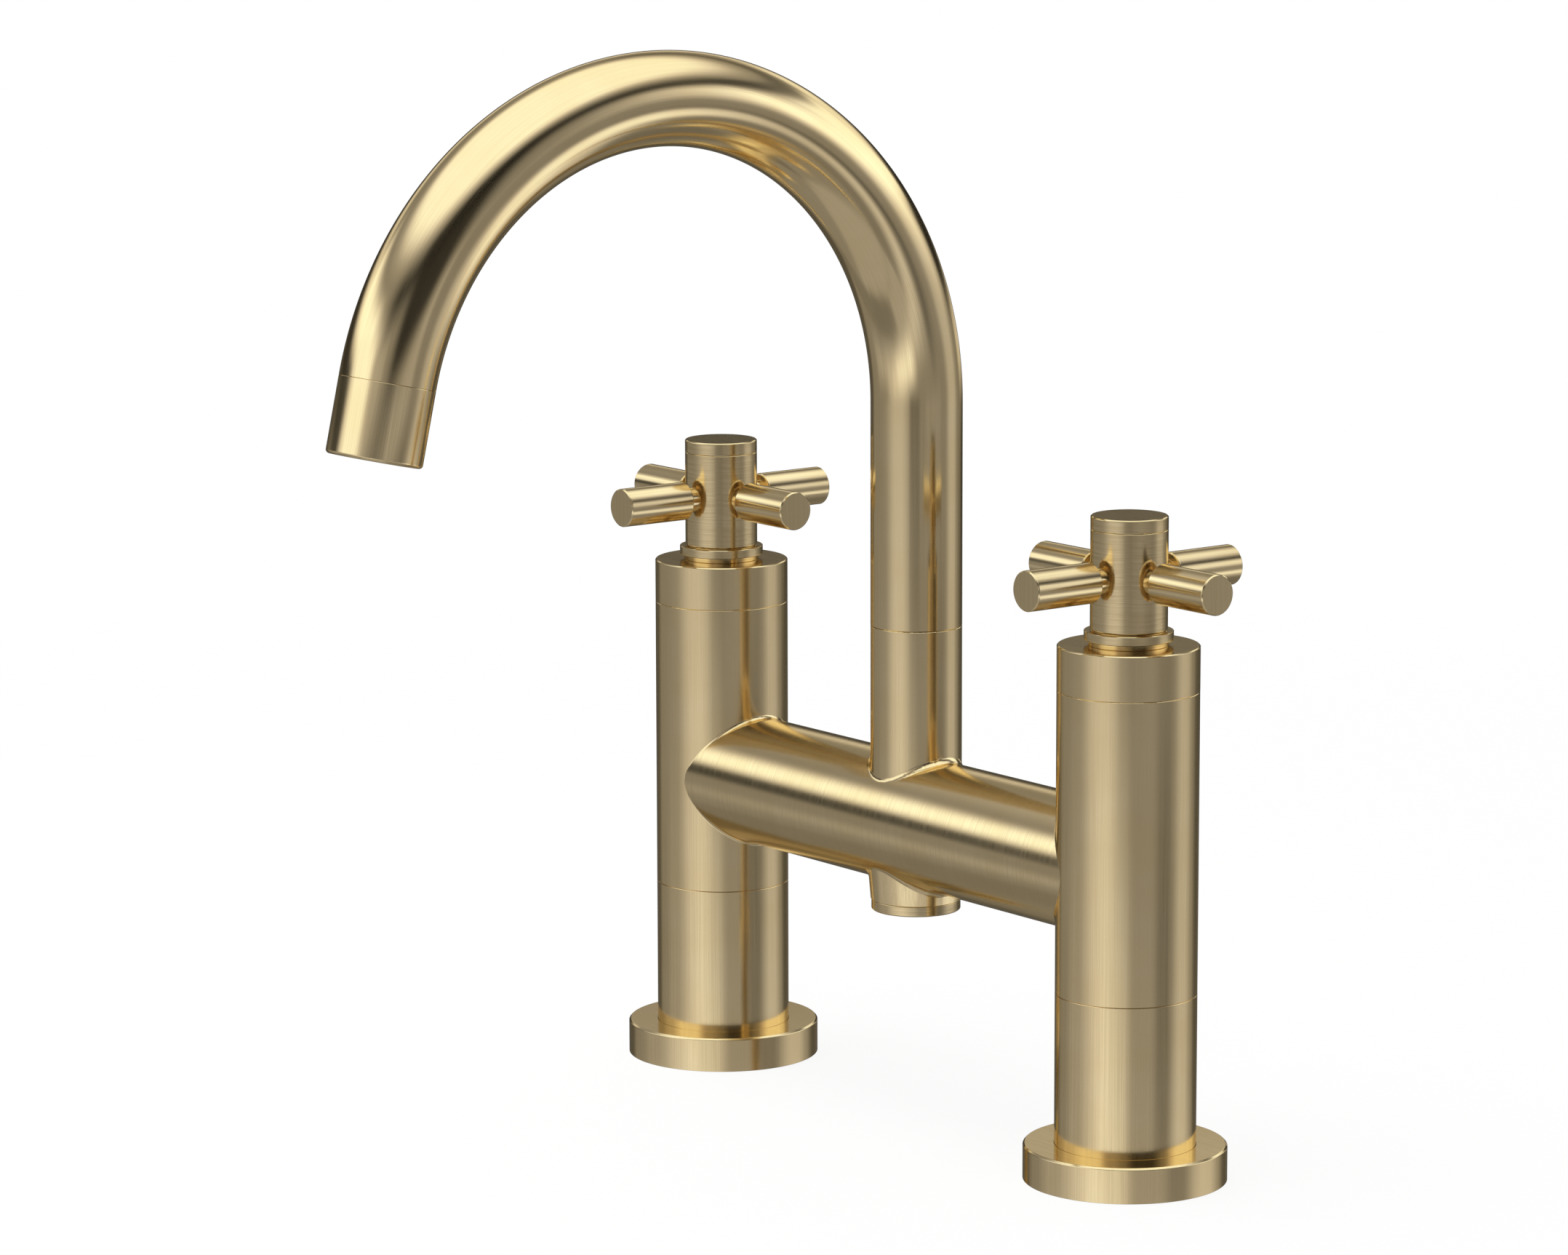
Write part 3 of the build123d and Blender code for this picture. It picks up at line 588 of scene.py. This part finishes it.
arm = turned(
    "arm",
    [
        (arm_stud_r, arm_stud_end),
        (arm_stud_r, arm_neck_seat),
        (arm_neck_r, arm_neck_seat),
        (arm_neck_r, arm_start),
        (arm_r - arm_chamfer, arm_start),
        (arm_r, arm_start + arm_chamfer),
        (arm_r, arm_reach - arm_chamfer),
        (arm_r - arm_chamfer, arm_reach),
    ],
    corner=0.05,
    segments=thin_segments,
)
keep_grain(arm)
gild(arm, gold_along)
lying = Matrix.Rotation(math.radians(90), 4, "Y")
at_hub = Matrix.Translation((0, 0, arm_z * mm))
for side, x in pillars.items():
    for way, angle in arm_ways.items():
        lay = at_hub @ Matrix.Rotation(math.radians(angle), 4, "Z") @ lying
        bar = copied(arm, f"{side}_handle_arm_{way}", x, lay)
        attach(bar, f"{side}_handle")
        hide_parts(f"{side}_arm_{way}")
bpy.data.objects.remove(arm)

# Caps: turned discs that plug the hub over its screw. A hairline seam shows between the two, and
# the top is faced flat and brushed straight.
cap_top = top("hot_cap")
cap_bottom = top("hot_hub")
cap_plug_bottom = bottom("hot_cap")
cap_plug_r = 6.95
cap_plug_wall = 1.75

cap = turned(
    "cap",
    [
        (cap_plug_r - cap_plug_wall, cap_bottom),
        (cap_plug_r - cap_plug_wall, cap_plug_bottom),
        (cap_plug_r, cap_plug_bottom),
        (cap_plug_r, cap_bottom),
        (hub_r - seam_break, cap_bottom),
        (hub_r, cap_bottom + seam_break),
        (hub_r, cap_top - top_break),
        (hub_r - top_break, cap_top),
    ],
)
keep_grain(cap)
gild(cap, gold_round)
for side, x in pillars.items():
    disc = copied(cap, f"{side}_handle_cap", x)
    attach(disc, f"{side}_handle")
    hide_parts(f"{side}_cap")
bpy.data.objects.remove(cap)

# Spout tube: drawn brass tube, bent to a swan neck on a mandrel and brushed along its length, a
# little glossier than the pillars. It stands on the riser's bearing ring and turns there, and its
# far end is bored for the nozzle.
spout_base = bottom("spout_tube")
spout_r = riser_r
spout_wall = 1.8
bend_r = 87.7
bend_z = 199.9
bend_angle = math.radians(167.1)
bend_steps = 150
tube_edge = math.radians(30)

bpy.ops.object.select_all(action="DESELECT")
bpy.ops.mesh.primitive_circle_add(
    vertices=round_segments,
    radius=(spout_r - seam_break) * mm,
    location=(0, 0, spout_base * mm),
)
spout = bpy.context.object
spout.name = "swan_neck_tube"
bpy.ops.object.mode_set(mode="EDIT")
bpy.ops.mesh.extrude_edges_move(TRANSFORM_OT_translate={"value": (0, 0, seam_break * mm)})
share = spout_r / (spout_r - seam_break)
chamfer_top = (0, 0, (spout_base + seam_break) * mm)
bpy.ops.transform.resize(value=(share, share, 1), center_override=chamfer_top)
rise = (0, 0, (bend_z - spout_base - seam_break) * mm)
bpy.ops.mesh.extrude_edges_move(TRANSFORM_OT_translate={"value": rise})
bpy.ops.mesh.spin(
    steps=bend_steps, angle=-bend_angle, center=(0, -bend_r * mm, bend_z * mm), axis=(1, 0, 0)
)
bpy.ops.mesh.select_all(action="SELECT")
bpy.ops.mesh.remove_doubles(threshold=weld)
bpy.ops.object.mode_set(mode="OBJECT")
bpy.ops.object.transform_apply(location=True)
grain = spout.data.attributes.new("grain", "FLOAT_VECTOR", "POINT").data
for vertex in spout.data.vertices:
    point = vertex.co / mm
    if point.z <= bend_z and point.y > -bend_r:
        grain[vertex.index].vector = vertex.co
    else:
        across = math.hypot(point.y + bend_r, point.z - bend_z) - bend_r
        turned_by = math.atan2(point.z - bend_z, point.y + bend_r) % (2 * math.pi)
        grain[vertex.index].vector = Vector((point.x, across, bend_z + bend_r * turned_by)) * mm
wall = spout.modifiers.new("wall", "SOLIDIFY")
wall.thickness = spout_wall * mm
wall.offset = -1
bpy.ops.object.modifier_apply(modifier=wall.name)
bpy.ops.object.shade_smooth_by_angle(angle=tube_edge)
gold_drawn = brushed_gold("satin_gold_brushed_tube", 0.35, 45.0, "axis", 0.25, 0.0005, 0.13)
spout.data.materials.append(gold_drawn)
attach(spout, "spout")
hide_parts("spout_tube")

# Nozzle: the turned end of the spout, soldered into the tube by its spigot under a hairline seam.
# Its mouth is bored for the aerator and its rim is rounded.
nozzle_length = 20.4
nozzle_round = 1.0
nozzle_spigot = 6.0
nozzle_bore_r = 9.5
nozzle_socket_r = 11.15
mouth_r = 11.5
nozzle_shoulder = 11.0
round_step = 10

rounded_rim = [
    (
        spout_r - nozzle_round + nozzle_round * math.cos(math.radians(angle)),
        nozzle_length - nozzle_round + nozzle_round * math.sin(math.radians(angle)),
    )
    for angle in range(0, 91, round_step)
]
nozzle = turned(
    "nozzle",
    [
        (nozzle_bore_r, -nozzle_spigot),
        (nozzle_socket_r, -nozzle_spigot),
        (nozzle_socket_r, 0),
        (spout_r - seam_break, 0),
        (spout_r, seam_break),
        *rounded_rim,
        (mouth_r, nozzle_length),
        (mouth_r, nozzle_shoulder),
        (nozzle_bore_r, nozzle_shoulder),
        (nozzle_bore_r, -nozzle_spigot),
    ],
    corner=0.04,
)
keep_grain(nozzle)
gild(nozzle, gold_along)
outlet_y = bend_r * (math.cos(bend_angle) - 1)
outlet_z = bend_z + bend_r * math.sin(bend_angle)
outlet = Matrix.Translation((0, outlet_y * mm, outlet_z * mm))
nozzle_end = copied(nozzle, "spout_nozzle_end", 0, outlet @ Matrix.Rotation(bend_angle, 4, "X"))
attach(nozzle_end, "spout")
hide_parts("spout_nozzle")
bpy.data.objects.remove(nozzle)

# Blanking plug: a turned plug with a hexagon socket, screwed up into the boss under the bridge,
# where a shower outlet would be fitted. Its lathe lines run round.
plug_r = radius_of("blanking_plug")
plug_bottom = bottom("blanking_plug")
plug_top = top("blanking_plug")
plug_shank_r = 7.95
plug_key_across_flats = 8.0
plug_key_depth = 5.0

plug = turned(
    "boss_plug",
    [
        (plug_r - top_break, plug_bottom),
        (plug_r, plug_bottom + top_break),
        (plug_r, boss_seam - seam_break),
        (plug_r - seam_break, boss_seam),
        (plug_shank_r, boss_seam),
        (plug_shank_r, plug_top),
    ],
    corner=0.04,
)
bpy.ops.mesh.primitive_cylinder_add(
    vertices=6,
    radius=plug_key_across_flats / 2 / math.cos(math.pi / 6) * mm,
    depth=2 * plug_key_depth * mm,
    location=(0, 0, plug_bottom * mm),
)
key = bpy.context.object
socket = plug.modifiers.new("socket", "BOOLEAN")
socket.operation = "DIFFERENCE"
socket.object = key
bpy.ops.object.select_all(action="DESELECT")
bpy.context.view_layer.objects.active = plug
plug.select_set(True)
bpy.ops.object.modifier_apply(modifier=socket.name)
bpy.data.objects.remove(key)
shade_as_turned(plug)
keep_grain(plug)
gild(plug, gold_round)
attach(plug, "mixer")
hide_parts("blanking_plug")

# Supply tails: hollow brass shanks through the deck, screwed into the legs, with a three-quarter-
# inch pipe thread cut on each. The thread is rounded at crest and root, 1.814 mm from turn to turn.
tail_bottom = bottom("hot_tail")
tail_top = top("hot_tail")
tail_shank_r = radius_of("hot_tail")
tail_shank_bottom = -6.0
tail_land_r = 13.5
thread_r = 13.22
thread_pitch = 1.814
thread_depth = 0.8
thread_fade = 1.2
runout_r = 12.4
runout_top = -32.0
runout_bottom = -34.0
tail_bore_r = 8.5
rows_per_pitch = 6
lower_thread = tail_bottom, runout_bottom
deck_thread = runout_top, tail_shank_bottom
leg_thread = foot_bottom, tail_top
thread_edge = math.radians(50)


def thread_rows(low, high):
    """Outline points up a stretch of thread, close enough together to take its grooves."""
    count = round((high - low) / thread_pitch * rows_per_pitch)
    return [(thread_r, low + (high - low) * i / count) for i in range(count + 1)]


tail = turned(
    "tail",
    [
        (tail_bore_r, tail_bottom),
        *thread_rows(*lower_thread),
        (runout_r, runout_bottom),
        (runout_r, runout_top),
        *thread_rows(*deck_thread),
        (tail_shank_r, tail_shank_bottom),
        (tail_shank_r, 0),
        (tail_land_r, 0),
        (tail_land_r, foot_bottom),
        *thread_rows(*leg_thread),
        (tail_bore_r, tail_top),
        (tail_bore_r, tail_bottom),
    ],
    corner=0.02,
    segments=thin_segments,
)
for low, high in (lower_thread, deck_thread, leg_thread):
    for vertex in tail.data.vertices:
        radius = vertex.co.xy.length / mm
        height = vertex.co.z / mm
        inside = min(height - low, high - height)
        if abs(radius - thread_r) > on_wall or inside <= 0:
            continue
        turns = height / thread_pitch - math.atan2(vertex.co.y, vertex.co.x) / (2 * math.pi)
        groove = thread_depth * (1 - math.cos(2 * math.pi * turns)) / 2
        cut = groove * min(inside / thread_fade, 1)
        vertex.co.xy *= (radius - cut) / radius
bpy.ops.mesh.customdata_custom_splitnormals_clear()
bpy.ops.object.shade_smooth_by_angle(angle=thread_edge)

worked_gloss_spread = 0.06


def worked(name, pale, deep, metallic, roughness, stretch, relief):
    """A finish whose tone, gloss and fine relief follow one noise; stretch is its grain in mm."""
    material = bpy.data.materials.new(name)
    material.use_nodes = True
    tree = material.node_tree
    shader = tree.nodes["Principled BSDF"]
    shader.inputs["Metallic"].default_value = metallic
    spot = node(tree, "ShaderNodeTexCoord").outputs["Object"]
    scale = [1 / (length * mm) for length in stretch]
    stretched = node(tree, "ShaderNodeMapping", {"Vector": spot}, {"Scale": scale})
    marks = node(
        tree,
        "ShaderNodeTexNoise",
        {"Vector": stretched.outputs["Vector"]},
        {"Scale": 1.0, "Detail": 3.0},
    ).outputs["Fac"]
    tone = node(
        tree,
        "ShaderNodeMix",
        {0: marks},
        {6: linear(pale), 7: linear(deep)},
        data_type="RGBA",
    )
    gloss = node(
        tree,
        "ShaderNodeMapRange",
        {"Value": marks},
        {
            "From Min": 0.3,
            "From Max": 0.7,
            "To Min": roughness - worked_gloss_spread,
            "To Max": roughness + worked_gloss_spread,
        },
    )
    skin = node(
        tree, "ShaderNodeBump", {"Height": marks}, {"Strength": 1.0, "Distance": relief * mm}
    )
    tree.links.new(tone.outputs[2], shader.inputs["Base Color"])
    tree.links.new(gloss.outputs["Result"], shader.inputs["Roughness"])
    tree.links.new(skin.outputs["Normal"], shader.inputs["Normal"])
    return material


# Plain brass, turned on a lathe and left bright: fine tool lines run round it, 0.2 mm apart.
brass = worked("turned_brass", "#D9BC77", "#BE9C55", 1.0, 0.3, (15, 15, 0.2), 0.01)
tail.data.materials.append(brass)
for side, x in pillars.items():
    shank = copied(tail, f"{side}_supply_tail", x)
    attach(shank, "mixer")
    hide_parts(f"{side}_tail")
bpy.data.objects.remove(tail)


def finish(material, *labels):
    """Give the CAD nodes of these names, of both sides where they have one, a material."""
    for label, cad_node in nodes.items():
        if label.removeprefix("hot_").removeprefix("cold_") in labels:
            cad_node.data.materials.clear()
            cad_node.data.materials.append(material)


# Brass pieces inside and under the deck: the back nuts that clamp the tap, the valves' bodies and
# spindles, and the spigot on which the spout turns. All are turned or milled and left unplated.
finish(brass, "back_nut", "valve_body", "spindle", "spout_spigot")

# Washers, clips and screws: stainless steel, rolled or drawn, with a fine grain along the sheet.
steel = worked("stainless_steel", "#C9C7C2", "#A9A7A3", 1.0, 0.3, (8, 0.25, 8), 0.006)
finish(steel, "clamp_washer", "spindle_clip", "handle_screw", "spout_grub_screw")

# Valve discs: two alumina ceramic discs in each valve, lapped flat and glossy, off-white.
ceramic = worked("lapped_alumina_ceramic", "#F3F0E8", "#E6E2D8", 0.0, 0.14, (1.5, 1.5, 1.5), 0.002)
finish(ceramic, "fixed_disc", "moving_disc")

# Bearing ring and aerator: injection-moulded acetal, slightly waxy, white under the spout and
# grey in its mouth, where the holes break up the water.
white_acetal = worked("white_acetal", "#ECEAE4", "#E0DED8", 0.0, 0.38, (0.8, 0.8, 0.8), 0.006)
finish(white_acetal, "spout_bearing_ring")
grey_acetal = worked("grey_acetal", "#8F9193", "#7F8183", 0.0, 0.4, (0.8, 0.8, 0.8), 0.006)
finish(grey_acetal, "aerator")

# Seals: black nitrile rubber, moulded, with a dull even skin.
rubber = worked("black_nitrile_rubber", "#242322", "#181716", 0.0, 0.62, (0.4, 0.4, 0.4), 0.01)
finish(rubber, "deck_seal", "seat_seal", "valve_o_ring", "spindle_o_ring")
finish(rubber, "spout_o_rings", "plug_o_ring", "aerator_washer")

# Studio: a plain white floor that shows the shadow near the tap, one wide soft lamp overhead, and
# a round tent of grey cloth with white panels, which only the reflections in the metal show, as a
# photographer lights polished ware.
floor_size = 40.0
floor_glow = 0.9
shadow_reach = 0.25, 0.9

bpy.ops.object.select_all(action="DESELECT")
bpy.ops.mesh.primitive_plane_add(size=floor_size)
floor = bpy.context.object
floor.name = "studio_floor"
floor.visible_glossy = False


def seen_plainly(tree):
    """1 for what the camera sees straight, in metal or through glass, and 0 for lighting."""
    path = node(tree, "ShaderNodeLightPath").outputs
    straight = node(
        tree,
        "ShaderNodeMath",
        {0: path["Is Camera Ray"], 1: path["Is Glossy Ray"]},
        operation="MAXIMUM",
    )
    plainly = node(
        tree,
        "ShaderNodeMath",
        {0: straight.outputs[0], 1: path["Is Transmission Ray"]},
        operation="MAXIMUM",
    )
    return plainly.outputs[0]


painted = bpy.data.materials.new("white_painted_floor")
painted.use_nodes = True
tree = painted.node_tree
tree.nodes.remove(tree.nodes["Principled BSDF"])
spot = node(tree, "ShaderNodeTexCoord").outputs["Object"]
far_off = node(tree, "ShaderNodeVectorMath", {0: spot}, operation="LENGTH")
whiteness = node(
    tree,
    "ShaderNodeMapRange",
    {"Value": far_off.outputs["Value"]},
    {
        "From Min": shadow_reach[0],
        "From Max": shadow_reach[1],
        "To Min": floor_glow,
        "To Max": 1.0,
    },
)
glowing = node(
    tree,
    "ShaderNodeMath",
    {0: seen_plainly(tree), 1: whiteness.outputs["Result"]},
    operation="MULTIPLY",
)
chalk = node(tree, "ShaderNodeBsdfDiffuse", values={"Color": linear("#F6F6F4")})
white = node(tree, "ShaderNodeEmission", values={"Strength": 1.0})
shown = node(
    tree,
    "ShaderNodeMixShader",
    {0: glowing.outputs[0], 1: chalk.outputs[0], 2: white.outputs[0]},
)
tree.links.new(shown.outputs[0], tree.nodes["Material Output"].inputs["Surface"])
floor.data.materials.append(painted)

# Panels of the tent: middle azimuth and half width in degrees, counted to the right from the
# camera's way, lowest and highest elevation, softness of the edges, and brightness. Each lies over
# those above it. The brightest, its windows, are a little cooler than the cloth, as daylight is.
camera_way = math.radians(-37.2)
tent_middle = (0, -0.04, 0.15)
tent_r = 8.0
cloth_level = 0.3
window_white = "#F6FFFC"
cool_from, cool_full = 0.9, 1.4
panels = {
    "table": (0, 180, -95, -36, 6, 0.31),
    "table_front": (-35, 62, -88, -40, 12, 0.45),
    "table_right": (128, 30, -95, -40, 8, 0.20),
    "skirt": (0, 180, -42, -30, 3, 0.24),
    "skirt_left": (-62, 24, -44, -31, 5, 0.22),
    "skirt_front": (-3, 23, -42, -30, 6, 0.45),
    "skirt_right": (110, 20, -38, -28, 6, 0.73),
    "belt": (0, 180, -28, 2, 3, 0.29),
    "belt_left": (-89, 20, -24, -14, 11, 0.51),
    "belt_key": (-47, 24, -24, -8, 16, 0.83),
    "belt_notch": (-6, 12, -10, 2, 4, 0.17),
    "belt_dark": (59, 14, -21, -12, 8, 0.02),
    "belt_strip": (99, 15, -22, 5, 9, 0.57),
    "belt_back": (144, 14, -28, -8, 7, 0.10),
    "belt_far": (190, 32, -35, 3, 6, 0.11),
    "belt_gap": (158, 14, -10, 3, 5, 0.04),
    "belt_sliver": (150, 14, -6, 0, 3, 0.75),
    "ledge": (49, 85, -28, -18, 12, 0.72),
    "ledge_left": (-24, 24, -23, -15, 10, 1.29),
    "ledge_right": (96, 21, -31, -19, 9, 1.32),
    "wall": (0, 180, 5, 46, 3, 0.29),
    "wall_low": (197, 71, 0, 11, 6, 0.04),
    "wall_back": (175, 63, 14, 22, 6, 0.86),
    "window_left": (-88, 35, 14, 29, 11, 1.58),
    "window_low": (-62, 27, -2, 24, 15, 1.44),
    "window_right": (112, 29, 11, 28, 4, 1.54),
    "window_end": (98, 22, 5, 27, 15, 1.60),
    "wall_nook": (150, 14, 3, 11, 4, 0.02),
    "window_far": (150, 16, 16, 26, 6, 1.20),
    "wall_shade": (135, 48, 31, 39, 4, 0.15),
    "wall_left": (-24, 12, 6, 19, 8, 0.52),
    "dark_front": (28, 24, 5, 46, 9, 0.04),
    "belt_glint": (41, 20, -7, 2, 4, 0.46),
    "rail": (0, 180, 37, 47, 3, 0.38),
    "rail_front": (36, 69, 25, 36, 15, 0.02),
    "ceiling": (0, 180, 46, 95, 14, 1.42),
}


def step(value, edge, softness):
    """A smooth step from 0 to 1 across an edge."""
    t = min(max((value - edge) / softness + 0.5, 0.0), 1.0)
    return t * t * (3 - 2 * t)


def brightness(azimuth, elevation):
    """How bright the tent is in one direction from the tap."""
    level = cloth_level
    for middle, half_width, low, high, softness, panel_level in panels.values():
        off = abs((azimuth - middle + 180) % 360 - 180)
        share = step(elevation, low, softness) * (1 - step(elevation, high, softness))
        if half_width < 180:
            share *= 1 - step(off, half_width, 2 * softness)
        level += (panel_level - level) * share
    return level


bpy.ops.mesh.primitive_uv_sphere_add(
    segments=180, ring_count=120, radius=tent_r, location=tent_middle
)
tent = bpy.context.object
tent.name = "studio_tent"
glow = tent.data.attributes.new("glow", "FLOAT", "POINT").data
for vertex in tent.data.vertices:
    way = vertex.co.normalized()
    azimuth = math.degrees(math.atan2(way.y, way.x) - camera_way)
    glow[vertex.index].value = brightness(azimuth, math.degrees(math.asin(way.z)))
tent.visible_camera = False
tent.visible_diffuse = False
tent.visible_shadow = False
tent.visible_transmission = False
tent.visible_volume_scatter = False
cloth = bpy.data.materials.new("grey_tent_cloth")
cloth.use_nodes = True
tree = cloth.node_tree
tree.nodes.remove(tree.nodes["Principled BSDF"])
level = node(tree, "ShaderNodeAttribute", attribute_name="glow")
cool_share = node(
    tree,
    "ShaderNodeMapRange",
    {"Value": level.outputs["Fac"]},
    {"From Min": cool_from, "From Max": cool_full},
)
tint = node(
    tree,
    "ShaderNodeMix",
    {0: cool_share.outputs["Result"]},
    {6: linear("#FFFFFF"), 7: linear(window_white)},
    data_type="RGBA",
)
lit = node(
    tree,
    "ShaderNodeEmission",
    {"Color": tint.outputs[2], "Strength": level.outputs["Fac"]},
)
tree.links.new(lit.outputs[0], tree.nodes["Material Output"].inputs["Surface"])
cloth.cycles.emission_sampling = "NONE"
tent.data.materials.append(cloth)

softbox = bpy.data.lights.new("overhead_softbox", "AREA")
softbox.shape = "DISK"
softbox.size = 1.6
softbox.energy = 26.0
lamp = bpy.data.objects.new("overhead_softbox", softbox)
lamp.location = (-0.2, -0.4, 1.7)
lamp.visible_glossy = False
aim = Vector((0, 0, 0.1)) - lamp.location
lamp.rotation_euler = aim.to_track_quat("-Z", "Y").to_euler()
bpy.context.scene.collection.objects.link(lamp)

ambient_strength = 0.45
world = bpy.data.worlds.new("studio_white")
bpy.context.scene.world = world
world.use_nodes = True
tree = world.node_tree
tree.nodes.clear()
ambient = node(
    tree,
    "ShaderNodeBackground",
    values={"Color": (1, 1, 1, 1), "Strength": ambient_strength},
)
plain_white = node(tree, "ShaderNodeBackground", values={"Color": (1, 1, 1, 1), "Strength": 1.0})
mixed = node(
    tree,
    "ShaderNodeMixShader",
    {0: seen_plainly(tree), 1: ambient.outputs[0], 2: plain_white.outputs[0]},
)
node(tree, "ShaderNodeOutputWorld", {"Surface": mixed.outputs[0]})

# Camera: a long lens at the photograph's distance and height. Its focal length is in the
# photograph's own pixels.
photo_width = 2156
photo_focal_length = 8246.7
azimuth = math.radians(52.790)
elevation = math.radians(9.934)
roll = math.radians(-0.143)
distance = 1.7029355
target = Vector((-0.060344, 0, 0.128759))
towards_camera = Vector(
    (
        math.sin(azimuth) * math.cos(elevation),
        -math.cos(azimuth) * math.cos(elevation),
        math.sin(elevation),
    )
)
right = Vector((0, 0, 1)).cross(towards_camera).normalized()
up = towards_camera.cross(right)
lens = bpy.data.cameras.new("photo_camera")
lens.sensor_width = 36.0
lens.lens = photo_focal_length / photo_width * lens.sensor_width
lens.clip_end = 100.0
camera = bpy.data.objects.new("photo_camera", lens)
rolled_right = right * math.cos(roll) + up * math.sin(roll)
rolled_up = up * math.cos(roll) - right * math.sin(roll)
axes = Matrix((rolled_right, rolled_up, towards_camera)).transposed().to_4x4()
camera.matrix_world = Matrix.Translation(target + towards_camera * distance) @ axes
bpy.context.scene.collection.objects.link(camera)
bpy.context.scene.camera = camera
bpy.context.scene.view_settings.view_transform = "Standard"
